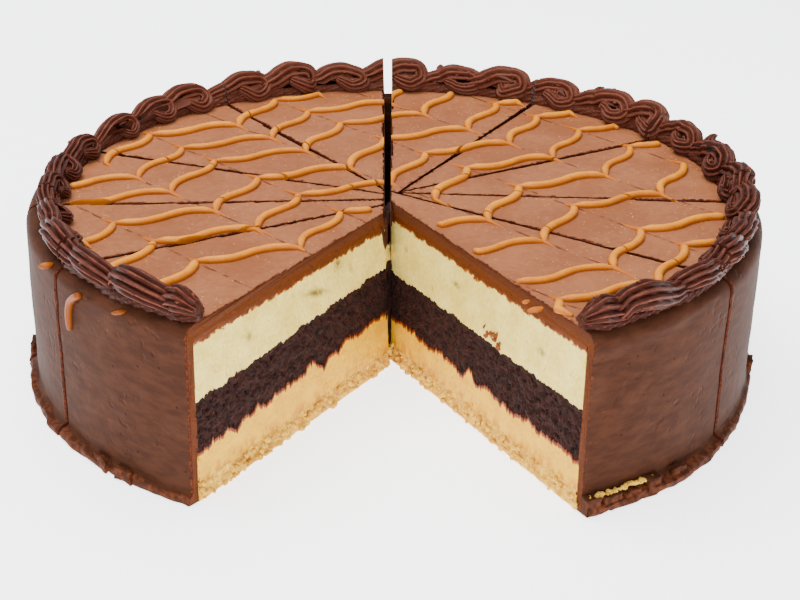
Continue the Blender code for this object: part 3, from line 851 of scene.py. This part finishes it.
def tear_cut(shape, planes, torn):
    """Rough up the coat's skin along each cut: an edge that is pushed in, and a small burr beside it."""
    for point, outward in planes:
        for depth in BURR_DEPTHS:
            split(shape, point - outward * depth, outward, False)
    for vertex in shape.verts:
        place = vertex.co.copy()
        out = place.xy.length
        skin = place.z > HEIGHT - 1.2 * MM or out > FOOT_RADIUS - 1.2 * MM
        if not skin:
            continue
        depths = [depth_inside(place, plane) for plane in planes]
        depth = min(depths)
        if depth > TORN_DEPTH:
            continue
        up = Vector((0, 0, 1)) if place.z > HEIGHT - 1.5 * MM else around(turn_of(place), 1.0)
        ragged = waves(place, 1.7 * MM, 2.0) + 0.6 * waves(place, 0.8 * MM, 4.0)
        if depth < 0.05 * MM:
            outward = planes[depths.index(depth)][1]
            pushed_in = outward * (0.3 + 0.5 * abs(ragged)) * MM
            vertex.co = place - pushed_in - up * (0.45 + 0.3 * ragged) * MM
            vertex[torn] = 1.0
        elif depth < 1.2 * MM:
            vertex.co = place + up * (0.05 + 0.16 * ragged) * MM
            vertex[torn] = 0.4 + 0.3 * ragged


def foot_chunk(degrees, draw):
    """A broken bit of chocolate pushed up along the foot."""
    turn = math.radians(degrees)
    length, out, tall = (side * draw.uniform(0.7, 1.05) for side in CHUNK_SIZE)
    shape = bmesh.new()
    bmesh.ops.create_cube(shape, size=1.0)
    bmesh.ops.bevel(
        shape,
        geom=shape.edges[:],
        offset=0.06,
        offset_type="OFFSET",
        affect="EDGES",
        segments=1,
        profile=0.5,
        material=-1,
    )
    bmesh.ops.subdivide_edges(shape, edges=shape.edges[:], cuts=4, use_grid_fill=True)
    seed = draw.uniform(0.0, 40.0)
    for vertex in shape.verts:
        vertex.co *= 1.0 + 0.24 * waves(vertex.co, 0.5, seed) + 0.2 * waves(vertex.co, 0.2, seed)
        vertex.co.z += 0.5
    grow = Matrix.Diagonal((length, out, tall, 1.0))
    spin = Matrix.Rotation(turn + draw.uniform(-0.12, 0.12), 4, "Z")
    place = around(turn, FOOT_RADIUS + lip_proud(turn) * 0.4, FLOOR_GAP)
    bmesh.ops.transform(shape, matrix=Matrix.Translation(place) @ spin @ grow, verts=shape.verts)
    return shape


def slice_coats(material):
    """The coat of every slice, with the foot's broken bits."""
    whole = bpy.data.meshes.new("whole_coat")
    shape = whole_coat()
    shape.to_mesh(whole)
    shape.free()
    for side_name, side, cuts in SIDES:
        for number in SLICES:
            draw = random.Random(10 * number + side)
            shape = bmesh.new()
            shape.from_mesh(whole)
            planes = slice_planes(cuts, number, side)
            torn = shape.verts.layers.float.new("torn")
            sliced = shape.faces.layers.float.new("sliced")
            trim(shape, planes, sliced, 1 if number == 1 else None)
            tear_cut(shape, planes, torn)
            low, high = sorted((abs(cuts[number - 1][0]), abs(cuts[number][0])))
            for degrees in CHUNK_TURNS:
                if degrees * side > 0 and low < abs(degrees) < high:
                    chunk = foot_chunk(degrees, draw)
                    trim(chunk, planes)
                    add_to(shape, chunk)
            name = f"{side_name}_{number}"
            finish(f"{name}_coat", shape, material, f"{name}_ganache")
    bpy.data.meshes.remove(whole)


# Caramel lines


def stroke_point(along_line, line, band):
    """A point of one caramel line, from 0 to 1 along it, flat on the chocolate."""
    across = Vector((math.sin(PULL_ANGLE), -math.cos(PULL_ANGLE), 0.0))
    swing = 2.0 * along_line - 1.0
    shift = -math.copysign(abs(swing) ** PULL_SHARPNESS, swing)
    direction = 1.0 if band % 2 == 0 else -1.0
    place = across * (FIRST_PULL + PULL_SPACING * (band + along_line))
    return place + PULL * (line * MM + direction * PULL_REACH * shift)


def on_the_top(place):
    """Whether a point lies inside the rim and outside the missing slices."""
    degrees = math.degrees(turn_of(place))
    return place.length < STROKE_END_RADIUS and not LEFT_CUTS[0][0] < degrees < RIGHT_CUTS[0][0]


def stroke_stations(line, band, draw):
    """The places and radii of one caramel line that lie on the top."""
    height = HEIGHT + STROKE_RADIUS * (1.0 - 2.0 * STROKE_SINK) * 0.5
    fat = draw.uniform(0.85, 1.08)
    seed = draw.uniform(0.0, 90.0)
    runs = [[]]
    for step in range(STROKE_STEPS + 1):
        share = step / STROKE_STEPS
        place = stroke_point(0.01 + 0.98 * share, line, band)
        if not on_the_top(place):
            if runs[-1]:
                runs.append([])
            continue
        ends = min(1.0, 0.62 + 5.0 * min(share, 1.0 - share))
        lumps = 1.0 + 0.1 * noise.noise(Vector((share * 7.0, seed, 0.0)))
        wander = noise.noise(Vector((share * 3.0, seed, 5.0))) * 0.5 * MM
        radius = STROKE_RADIUS * fat * ends * lumps
        place = place + PULL * wander
        place.z = height - STROKE_RADIUS * (1.0 - ends) * 0.8
        runs[-1].append((place, radius))
    longest = max(runs, key=len)
    if len(longest) < 4 or (longest[-1][0] - longest[0][0]).length < SHORTEST_STROKE:
        return []
    direction = 1.0 if band % 2 == 0 else -1.0
    start = pulled_tail(longest[0], direction, draw)
    end = pulled_tail(longest[-1], -direction, draw)
    return rounded_ends(start[::-1] + longest + end)


def pulled_tail(station, direction, draw):
    """The thin tail that a pull through the caramel leaves at the end of a line."""
    place, radius = station
    pull = PULL * direction
    length = TAIL_LENGTH * draw.uniform(0.35, 1.15)
    tail = []
    for step in range(1, 8):
        share = step / 7.0
        spot = place + pull * length * share - Vector((0.0, 0.0, 0.45 * radius * share))
        if on_the_top(Vector((spot.x, spot.y, 0.0))):
            tail.append((spot, radius * (1.0 - 0.78 * share)))
    return tail


def rounded_ends(stations):
    """Close a rope's two ends with domes."""
    first, last = stations[0], stations[-1]
    lead = (first[0] - stations[1][0]).normalized()
    tail = (last[0] - stations[-2][0]).normalized()
    domes = ((1.0, 0.02), (0.92, 0.4), (0.7, 0.72), (0.38, 0.93))
    start = [(first[0] + lead * first[1] * reach, first[1] * size) for reach, size in domes]
    end = [(last[0] + tail * last[1] * reach, last[1] * size) for reach, size in reversed(domes)]
    return start + stations + end


def stroke_section(turn, share):
    """The flattened outline of a caramel line, and how far it is from the middle of its length."""
    return 1.0 - 0.14 * math.cos(turn) ** 2, abs(2.0 * share - 1.0)


def wall_run():
    """The caramel that ran down the left wall below the rim."""
    stations = []
    for step in range(25):
        fall = step / 24.0
        turn = RUN_AZIMUTH + (RUN_START - RUN_AZIMUTH) * (1.0 - fall) ** 4
        place = around(turn, RADIUS + 0.2 * MM, RUN_TOP + (RUN_END - RUN_TOP) * fall)
        stations.append((place, STROKE_RADIUS * (0.88 - 0.3 * fall**6)))
    return sweep(rounded_ends(stations), STROKE_SIDES, stroke_section)


# Loose bits of caramel: the side, the slice, the place and the size
CARAMEL_BITS = (
    (-1, 1, around(math.radians(-40.0), 127.2 * MM, 58.6 * MM), (4.6 * MM, 1.8 * MM, 1.4 * MM)),
    (-1, 2, around(math.radians(-59.5), 127.3 * MM, 59.0 * MM), (5.0 * MM, 2.2 * MM, 2.2 * MM)),
    (1, 1, Vector((42.9, -92.5, 59.6)) * MM, (5.4 * MM, 2.4 * MM, 1.8 * MM)),
    (1, 1, Vector((40.3, -87.6, 59.9)) * MM, (2.6 * MM, 1.8 * MM, 1.2 * MM)),
)


def slice_lines(material):
    """The caramel lines of every slice, cut where the slices are."""
    draw = random.Random(5)
    ropes = [stroke_stations(line, band, draw) for band in range(-1, 7) for line in STROKE_LINES]
    for side_name, side, cuts in SIDES:
        for number in SLICES:
            planes = slice_planes(cuts, number, side)
            whole = bmesh.new()
            for stations in ropes:
                if any(all(depth_inside(place, plane) > 0.0 for plane in planes) for place, _ in stations):
                    rope = sweep(stations, STROKE_SIDES, stroke_section)
                    trim(rope, planes)
                    add_to(whole, rope)
            if (side, number) == (-1, 1):
                add_to(whole, wall_run())
            for block, slice_number, place, size in CARAMEL_BITS:
                if (side, number) == (block, slice_number):
                    add_to(whole, lump(place, size, random.Random(3), 0.3))
            name = f"{side_name}_{number}"
            finish(f"{name}_caramel_lines", whole, material, f"{name}_ganache")


# The piped rim


def block_shells(first, last, draw):
    """Where the shells of one block start and how big each is, from the front to the back."""
    span = abs(last - first) * RING_RADIUS
    count = round(span / SHELL_PITCH)
    pitch = span / count
    places = []
    for number in range(count + 1):
        turn = first + (last - first) * (number + draw.uniform(-0.12, 0.12)) / count
        behind = 0.5 - 0.5 * math.cos(turn)
        tall = SHELL_HEIGHT * draw.uniform(0.9, 1.08) * (1.0 + TALLER_BEHIND * behind)
        tall *= 1.0 - 0.24 * left_dip(turn)
        places.append((turn, pitch * draw.uniform(0.95, 1.1), tall))
    return places


def left_dip(turn):
    """How much of the way down and in the rim lies at a turn, as it does on the left side."""
    degrees = math.degrees(turn)
    return between(-degrees, 58.0, 78.0) * between(degrees, -146.0, -122.0)


def ring_radius(turn):
    """How far out the rim's middle lies at a turn."""
    in_front = between(-abs(math.degrees(turn)), -72.0, -52.0)
    return RING_RADIUS - DIP_INWARD * left_dip(turn) + FRONT_OUTWARD * in_front


def rim_core(low, high, draw):
    """The low ridged rope under the shells of one slice."""
    stations = []
    for step in range(41):
        turn = low - 0.03 + (high - low + 0.06) * step / 40.0
        wander = 1.2 * MM * waves(around(turn, RADIUS), 13 * MM)
        place = around(turn, ring_radius(turn) + wander, HEIGHT + 0.9 * MM)
        stations.append((place, CORE_RADIUS * (1.0 - 0.15 * left_dip(turn))))
    return sweep(stations, ROPE_SIDES, star_section(9.0, draw.uniform(0.0, 60.0)))


def pointed_tip(azimuth, draw):
    """A short point that the star tip left where it was pulled away."""
    start = around(azimuth, RING_RADIUS + draw.uniform(-2.0, 4.0) * MM, HEIGHT + draw.uniform(3.5, 6.5) * MM)
    away = azimuth + draw.uniform(-0.9, 0.9)
    reach = around(away, draw.uniform(3.5, 6.0) * MM, draw.uniform(0.5, 3.0) * MM)
    stations = []
    for step in range(13):
        share = step / 12.0
        bend = Vector((0.0, 0.0, 1.6 * MM * math.sin(share * 2.6)))
        stations.append((start + reach * share + bend, 2.5 * MM * (1.0 - 0.86 * share**1.3)))
    section = star_section(draw.uniform(-2.0, 2.0), draw.uniform(0.0, 60.0))
    return sweep(rounded_ends(stations), TIP_SIDES, section)


def star_section(twist, seed):
    """The star tip's outline: rounded ridges of uneven height, sharp valleys, and a twist along the shell."""

    def section(turn, share):
        spun = turn + twist * share
        ridge = abs(math.cos(spun * RIDGES / 2))
        ridge_number = round(spun * RIDGES / math.tau)
        height = 1.0 + 0.3 * noise.noise(Vector((ridge_number * 1.7, seed, share * 3.0)))
        chipped = 0.05 * noise.noise(Vector((ridge_number * 2.3, share * 16.0, seed)))
        depth = RIDGE_DEPTH * height
        return 1.0 - depth + depth * ridge + chipped * ridge, ridge**3

    return section


def piped_shell(azimuth, pitch, height, draw):
    """One shell of the rim, piped by hand with a star tip along its curling line."""
    line = [[value + draw.gauss(0.0, 0.035) for value in point] for point in SHELL_LINE]
    wild = 1.6 if azimuth > math.radians(45.0) else 0.8
    stations = []
    for step in range(SHELL_STATIONS + 1):
        along, out, up, thick = smooth_line(line, step / SHELL_STATIONS)
        turn = azimuth + along * pitch / RING_RADIUS
        place = around(turn, ring_radius(azimuth) + out * RING_WIDTH, HEIGHT + up * height)
        sway = Vector((waves(place, 5 * MM), waves(place, 5 * MM, 3.0), waves(place, 5 * MM, 6.0)))
        stations.append((place + sway * 0.5 * wild * MM, SHELL_RADIUS * thick * height / SHELL_HEIGHT))
    section = star_section(draw.uniform(0.4, 1.3) * wild, draw.uniform(0.0, 60.0))
    return sweep(rounded_ends(stations), ROPE_SIDES, section)


def worn_end(shape, plane):
    """Squash and crumble the rim where the knife went through it at an open face."""
    for vertex in shape.verts:
        place = vertex.co
        depth = depth_inside(place, plane)
        if depth > WORN_DEPTH:
            continue
        core = around(turn_of(place), RING_RADIUS, HEIGHT + 1.0 * MM)
        shrink = 0.42 + 0.58 * between(depth, -1.5 * MM, WORN_DEPTH)
        rough = 0.7 * MM * (1.0 - depth / WORN_DEPTH) * crumble(place, 2.4 * MM, 3)
        moved = core + (place - core) * (shrink + rough / (5 * MM))
        moved.z = max(moved.z, HEIGHT + 0.05 * MM)
        vertex.co = moved - plane[1] * (moved - place).dot(plane[1])


def rim_crumbs(rim, planes, side, draw):
    """Broken reddish flakes that stick to the rim."""
    spots = [vertex.co.copy() for vertex in rim.verts if vertex.co.z > HEIGHT + 4.0 * MM]
    crumbs = bmesh.new()
    for place in draw.sample(spots, RIM_FLAKES[side]):
        size = draw.uniform(0.7, 2.1) * MM
        if min(depth_inside(place, plane) for plane in planes) > 1.2 * MM:
            add_to(crumbs, lump(place, (size, size * 0.6, size * 0.5), draw, 0.5))
    crest = crumbs.verts.layers.float.new("crest")
    for vertex in crumbs.verts:
        vertex[crest] = 1.0
    return crumbs


def slice_rims(material):
    """The piped rim of every slice."""
    for side_name, side, cuts in SIDES:
        first, last = math.radians(cuts[0][0]), math.radians(cuts[-1][0])
        shells = block_shells(first, last, random.Random(SEED))
        for number in SLICES:
            planes = slice_planes(cuts, number, side)
            low, high = sorted((math.radians(cuts[number - 1][0]), math.radians(cuts[number][0])))
            whole = rim_core(low, high, random.Random(side + number))
            trim(whole, planes)
            if number == 1:
                worn_end(whole, planes[1])
            for count, (turn, pitch, height) in enumerate(shells):
                reach = pitch / RING_RADIUS
                if low - 1.2 * reach < turn < high + 0.7 * reach:
                    shell = piped_shell(turn, pitch, height, random.Random(100 * side + count))
                    trim(shell, planes)
                    if number == 1:
                        worn_end(shell, planes[1])
                    add_to(whole, shell)
            draw = random.Random(40 + 10 * side + number)
            for _ in range(POINTED_TIPS[side]):
                tip = pointed_tip(draw.uniform(low + 0.1, high - 0.05), draw)
                trim(tip, planes)
                add_to(whole, tip)
            add_to(whole, rim_crumbs(whole, planes, side, draw))
            name = f"{side_name}_{number}"
            finish(f"{name}_piping", whole, material, f"{name}_border", RIDGE_ANGLE)


# The layers at the two open faces


def along_face(side, cut, height):
    """Where a cut's face starts at one height, its reach out to the coat, and its outward side."""
    inner, along, past = cut_line(cut, side)
    point, outward = gap_plane(side)
    start = Vector((inner.x, inner.y, height))
    reach = (point - start).dot(outward) / along.dot(outward)
    tip = start + along * reach
    square = tip.xy.dot(along.xy)
    length = -square + math.sqrt(square**2 + INNER_RADIUS**2 - tip.xy.length_squared)
    return tip, along * length, -past


def rise_at(side, share):
    """How much higher the left block's sponge lies at a share of the way out from the tip."""
    return LEFT_RISE * (1.0 - share) if side < 0 else 0.0


def teeth(along, size, seed):
    """Uneven teeth along a boundary, from -1 to 1."""
    place = Vector((along / size, seed, 0.0))
    coarse = 0.6 * noise.noise(place) + 0.4 * noise.noise(place * 3.1)
    return coarse + 0.36 * noise.noise(place * 8.3) + 0.3 * noise.noise(place * 19.0)


def sponge_top(side, share, along):
    """The ragged line between the sponge and the vanilla cheesecake."""
    return SPONGE_TOP - 0.6 * MM + rise_at(side, share) + 2.0 * MM * teeth(along, 8.0 * MM, 3.0 + side)


def sponge_bottom(side, share, along):
    """The toothed line between the sponge and the caramel cheesecake, with its drips."""
    line = CARAMEL_TOP + rise_at(side, share) + 3.4 * MM * teeth(along, 6.5 * MM, 8.0 + side)
    for place, width, drop in DRIPS[side]:
        line -= drop * MM * math.exp(-(((along / MM - place) / width) ** 2))
    return line


def crust_bottom(side, share, along):
    """The crust's uneven lower edge."""
    return 0.25 * MM + 0.5 * MM * abs(teeth(along, 6.0 * MM, 20.0 + side))


def crust_top(side, share, along):
    """The line between the crust and the caramel cheesecake."""
    return CRUST_TOP + 0.5 * MM * teeth(along, 6.0 * MM, 31.0 + side)


def vanilla_top(side, share, along):
    """The ragged line under the chocolate."""
    return VANILLA_TOP + 0.35 * MM + 0.35 * MM * teeth(along, 4.0 * MM, 40.0 + side)


def sponge_relief(place, share):
    """Open crumb, coarse near the rim and closer near the middle."""
    coarse = crumble(place, 3.6 * MM, 5)
    pits = max(0.0, crumble(place, 1.9 * MM, 3, 7.0) - 0.15)
    return (0.4 + 0.6 * share) * (0.9 * coarse - 1.9 * pits) - 0.25


def cream_relief(place, share):
    """Smooth cheesecake with faint drag marks of the knife and a few pores."""
    drags = waves(Vector((place.x * 0.35 + place.z * 0.25, place.y * 0.35, place.z)), 1.6 * MM, 2.0)
    pores = max(0.0, waves(place, 1.6 * MM, 9.0) - 0.46)
    return 0.14 * waves(place, 8 * MM) + 0.12 * drags + 0.07 * crumble(place, 1.1 * MM, 3) - 1.3 * pores


def crust_relief(place, share):
    """Pressed biscuit crumbs that stand proud near the floor."""
    return 0.75 * crumble(place, 2.6 * MM, 4) + 0.6 * between(-place.z, -4.5 * MM, -1.0 * MM)


def face_layer(name, side, cuts, levels, relief, marks, material, node):
    """One layer of an open slice, as a fine sheet on the face closed behind by the slice's far side."""
    bottom, top = levels
    steps = round(INNER_RADIUS / FACE_STEP)
    rows = max(8, round((top(side, 0.5, 50 * MM) - bottom(side, 0.5, 50 * MM)) / FACE_STEP))
    shape = bmesh.new()
    across = shape.verts.layers.float.new("across")
    upward = shape.verts.layers.float.new("upward")
    mark = shape.verts.layers.float.new(marks[0])
    bmesh.ops.create_grid(shape, x_segments=steps, y_segments=rows, size=0.5)
    for vertex in shape.verts:
        vertex[across] = vertex.co.x + 0.5
        vertex[upward] = vertex.co.y + 0.5
    front = shape.verts[:]
    rim = [edge for edge in shape.edges if edge.is_boundary]
    grown = bmesh.ops.extrude_edge_only(shape, edges=rim)["geom"]
    back = [item for item in grown if isinstance(item, bmesh.types.BMVert)]
    for vertex in back:
        share, level = vertex[across], vertex[upward]
        along = share * INNER_RADIUS
        low, high = bottom(side, share, along), top(side, share, along)
        tip, reach, outward = along_face(side, cuts[1], low + (high - low) * level)
        vertex.co = tip + reach * share + outward * CUT_WIDTH * -0.6
    for vertex in front:
        share, level = vertex[across], vertex[upward]
        along = share * INNER_RADIUS
        low, high = bottom(side, share, along), top(side, share, along)
        tip, reach, outward = along_face(side, cuts[0], low + (high - low) * level)
        place = tip + reach * share
        edge = min(1.0, 6.0 * min(level, 1.0 - level) + 0.35)
        vertex.co = place + outward * relief(place, share) * edge * MM
        vertex[mark] = marks[1](side, along, place.z, high)
    open_rim = [edge for edge in shape.edges if edge.is_boundary]
    bmesh.ops.holes_fill(shape, edges=open_rim)
    finish(name, shape, material, node, CRUMBLY_ANGLE)


def sponge_halo(side, along, height, top):
    """1 right under the sponge, fading over a couple of millimetres."""
    return 1.0 - between(top - height, 0.0, 2.2 * MM)


def vanilla_stain(side, along, height, top):
    """How strongly a smear or speck of the photo marks the vanilla cheesecake here."""
    strongest = 0.0
    for place, level, length, tall, strength in STAINS[side]:
        across = (along / MM - place) / length
        slope = 0.25 * across * length if side < 0 else 0.0
        upward = (height / MM - level - slope) / tall
        strongest = max(strongest, strength * math.exp(-(across**2) - upward**2))
    return strongest


def no_mark(side, along, height, top):
    """A layer without marks."""
    return 0.0


def foot_crumbs():
    """The crumbs of cheesecake and biscuit pressed out over the broken foot of the right block."""
    draw = random.Random(12)
    crumbs = bmesh.new()
    for _ in range(FOOT_CRUMBS):
        turn = math.radians(draw.uniform(28.2, 40.0))
        place = around(turn, FOOT_RADIUS + draw.uniform(0.7, 1.7) * MM, 5.6 * MM)
        place.z += 1.4 * MM * waves(place, 7 * MM) + draw.uniform(-0.5, 0.5) * MM
        size = draw.uniform(1.0, 2.4) * MM
        add_to(crumbs, lump(place, (size, size * 0.8, size * 0.6), draw, 0.4))
    return crumbs


def face_crumbs(materials):
    """Loose crumbs: reddish ones on the right face, and biscuit ones along both crusts."""
    for side_name, side, cuts in SIDES:
        draw = random.Random(70 + side)
        crumbs = bmesh.new()
        for _ in range(CRUST_CRUMBS):
            share = draw.random()
            low = draw.uniform(0.4, 6.0) * MM
            tip, reach, outward = along_face(side, cuts[0], low)
            size = draw.uniform(0.8, 2.9) * MM
            place = tip + reach * share + outward * draw.uniform(0.1, 0.9) * MM
            place.z = max(place.z, size * 0.45 + 0.05 * MM)
            add_to(crumbs, lump(place, (size, size * 0.8, size * 0.75), draw))
        name = f"{side_name}_1"
        finish(f"{name}_crust_crumbs", crumbs, materials["crust"], f"{name}_crust", CRUMBLY_ANGLE)
    draw = random.Random(31)
    crumbs = bmesh.new()
    for _ in range(RED_CRUMBS):
        along = draw.gauss(67.0, 3.0) * MM
        level = (37.4 - (along / MM - 67.0) * 0.25 + draw.gauss(0.0, 1.2)) * MM
        tip, reach, outward = along_face(1, RIGHT_CUTS[0], level)
        size = draw.uniform(0.8, 2.0) * MM
        place = tip + reach.normalized() * along + outward * 0.05 * MM
        add_to(crumbs, lump(place, (size * 1.3, size * 0.35, size), draw, 0.6))
    foot = ("right_1_ganache", CRUMBLY_ANGLE, SLOTS["crust"])
    finish("right_1_foot_crumbs", foot_crumbs(), materials["crust"], *foot)
    finish("right_1_red_crumbs", crumbs, materials["rust"], "right_1_vanilla", CRUMBLY_ANGLE)


def gap_plug(levels, recess, rough, seed):
    """A rough filling of the gap near the tips, between two levels in mm, set back from the faces."""
    shape = fine_block(20)
    low, high = levels
    for vertex in shape.verts:
        across, inward, level = vertex.co
        height = (low + (high - low) * (level + 0.5)) * MM
        lean = 1.0 - height / HEIGHT
        left, right = (near_x + slope * lean for near_x, _, slope in (GAP_FACES[-1], GAP_FACES[1]))
        x = 0.5 * (left + right) + across * (right - left + 0.8 * MM)
        place = Vector((x, (-13.2 + 9.0 * across + recess + 22.0 * (inward + 0.5)) * MM, height))
        ragged = crumble(place, 2.6 * MM, 4, seed) * rough * MM
        vertex.co = place + Vector((0.0, ragged * (0.5 - inward), 0.7 * ragged * (0.5 - inward)))
    return shape


def gap_sheet(side):
    """Chocolate that the knife dragged down one block's face in the gap, ragged at its lower edge: a dark
    sheet that stands in for the shade inside the gap.
    """
    start, outward = gap_plane(side)
    back, down = gap_face(side)
    shape = fine_block(60)
    for vertex in shape.verts:
        along, level = vertex.co.x + 0.5, 0.5 - vertex.co.z
        ragged = crumble(Vector((along * 120 * MM, 0.0, 0.0)), 4 * MM, 4, 3.0 + side)
        reach = 0.015 + level * (0.3 + 0.09 * ragged)
        place = start + back * (0.01 + 0.97 * along) + down * reach
        thick = (vertex.co.y + 0.5) * (0.28 + 0.12 * waves(place, 3 * MM)) - 0.15
        vertex.co = place + outward * thick * MM
    return shape


def fill_gap(materials):
    """What joins the blocks: chocolate over the gap's back end, cream near the tips, crumbs below, and dark
    plugs and sheets that stand in for the shade inside the gap.
    """
    draw = random.Random(9)
    smear = fine_block(24)
    tall = HEIGHT - 3.5 * MM
    for vertex in smear.verts:
        level = vertex.co.z + 0.5
        x = sum(far_x + (1.0 - level) * slope for _, far_x, slope in GAP_FACES.values()) / 2
        ragged = 1.6 * MM * crumble(Vector((vertex.co.y * 9 * MM, 0.0, 0.0)), 2.5 * MM, 3) * level
        height = 0.6 * MM + level * tall + ragged
        spot = Vector((x + vertex.co.x * 4.4 * MM, GAP_SMEAR_Y + vertex.co.y * 8 * MM, height))
        vertex.co = spot + Vector((0.0, 0.5 * MM * waves(spot, 4 * MM), 0.0))
    plug = gap_plug((44.0, 52.0), 3.4, 1.2, 1.0)
    drags = bmesh.new()
    for *place, tall in ((-4.3, -18.4, 52.5, 12.0), (-3.4, -15.6, 51.0, 13.0), (-0.9, -7.6, 53.0, 9.5)):
        add_to(drags, lump(Vector(place) * MM, (1.9 * MM, 2.6 * MM, tall * MM), draw, 0.45))
    cream = gap_plug((40.0, 45.6), 0.4, 1.5, 5.0)
    crumbs = bmesh.new()
    for _ in range(GAP_CRUMBS):
        size = draw.uniform(1.4, 3.2) * MM
        place = Vector((draw.uniform(-1.7, 0.3), draw.uniform(-14.0, 100.0), draw.uniform(0.8, 6.5))) * MM
        place.z = max(place.z, size * 0.45)
        add_to(crumbs, lump(place, (size, size, size * 0.8), draw, 0.35))
    sponge = gap_plug((19.0, 40.6), 0.8, 2.4, 9.0)
    # Painted shade: the lower plug is dark sponge where the gap shows only a dark slit between the tan
    # layers.
    add_to(sponge, gap_plug((7.0, 20.0), 4.0, 1.0, 4.0))
    for name, shape, kind, node in (
        ("gap_smear", smear, "coat", "left_5_ganache"),
        # Painted shade: the very dark piped chocolate fills the gap near the tips as the shade there.
        ("gap_plug", plug, "piping", "left_1_ganache"),
        ("gap_drags", drags, "coat", "left_1_ganache"),
        ("gap_cream", cream, "vanilla", "left_1_vanilla"),
        # Painted shade: the two dark sheets stand in for the shade inside the gap.
        ("left_gap_sheet", gap_sheet(-1), "coat", "left_1_ganache"),
        ("right_gap_sheet", gap_sheet(1), "coat", "right_1_ganache"),
        ("gap_crumbs", crumbs, "crust", "left_1_crust"),
        ("gap_sponge", sponge, "sponge", "left_1_sponge"),
    ):
        finish(name, shape, materials[kind], node, CRUMBLY_ANGLE)


def open_layers(materials):
    """The four layers of the two slices that the missing ones leave open."""
    plain, halo, stain = ("plain", no_mark), ("below_sponge", sponge_halo), ("stain", vanilla_stain)
    for side_name, side, cuts in SIDES:
        name = f"{side_name}_1"
        for part, levels, relief, marks, kind in (
            ("crustlayer", (crust_bottom, crust_top), crust_relief, plain, "crust"),
            ("tanlayer", (crust_top, sponge_bottom), cream_relief, halo, "caramel"),
            ("spongelayer", (sponge_bottom, sponge_top), sponge_relief, plain, "sponge"),
            ("palelayer", (sponge_top, vanilla_top), cream_relief, stain, "vanilla"),
        ):
            dressed = (materials[kind], f"{name}_{kind}")
            face_layer(f"{name}_{part}", side, cuts, levels, relief, marks, *dressed)


def dress_solids(materials):
    """Give the layers inside the other slices their foods' materials."""
    for name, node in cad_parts.items():
        kind = name.rsplit("_", 1)[1]
        if kind in materials and node.data.materials:
            for slot in node.material_slots:
                slot.material = materials[kind]


# Light, floor and camera


def make_floor():
    """A wide pale floor that fills the picture."""
    shape = bmesh.new()
    bmesh.ops.create_grid(shape, x_segments=1, y_segments=1, size=FLOOR_HALF_WIDTH)
    mesh = bpy.data.meshes.new("floor")
    shape.to_mesh(mesh)
    shape.free()
    mesh.materials.append(floor_material())
    put("floor", mesh)


def add_light(name, place, size, power, colour):
    """A soft square lamp that faces the cake."""
    lamp = bpy.data.lights.new(name, "AREA")
    lamp.energy = power
    lamp.size = size
    lamp.color = colour
    made = put(name, lamp)
    made.location = place
    made.rotation_euler = (-Vector(place)).to_track_quat("-Z", "Y").to_euler()


def make_lights():
    """An even studio: pale all round, a big soft light above and a low one in front."""
    world = bpy.data.worlds.new("studio")
    world.use_nodes = True
    background = world.node_tree.nodes["Background"]
    background.inputs["Color"].default_value = (*WORLD_COLOUR, 1.0)
    background.inputs["Strength"].default_value = WORLD_STRENGTH
    bpy.context.scene.world = world
    for lamp in LAMPS:
        add_light(*lamp)


def make_camera():
    """A camera where the photo's stood."""
    lens = bpy.data.cameras.new("camera")
    lens.lens = LENS
    camera = put("camera", lens)
    eye = Vector((0.0, -EYE_DISTANCE * math.cos(EYE_ELEVATION), EYE_DISTANCE * math.sin(EYE_ELEVATION)))
    turn = (AIM - eye).to_track_quat("-Z", "Y").to_matrix() @ Matrix.Rotation(CAMERA_ROLL, 3, "Z")
    shift = AXIS + Vector((0.0, 0.0, CAMERA_LIFT))
    camera.matrix_world = Matrix.Translation(eye + shift) @ turn.to_4x4()
    bpy.context.scene.camera = camera


MOTTLE = make_mottle()


def main():
    """Dress the whole cake."""
    materials = {
        "crust": crust_material(),
        "caramel": caramel_layer_material(),
        "sponge": sponge_material(),
        "vanilla": vanilla_material(),
        "coat": coat_material(),
        "piping": piping_material(),
        "rust": rust_material(),
    }
    slice_coats(materials["coat"])
    slice_lines(caramel_line_material())
    slice_rims(materials["piping"])
    open_layers(materials)
    face_crumbs(materials)
    fill_gap(materials)
    dress_solids(materials)
    make_floor()
    make_lights()
    make_camera()


main()
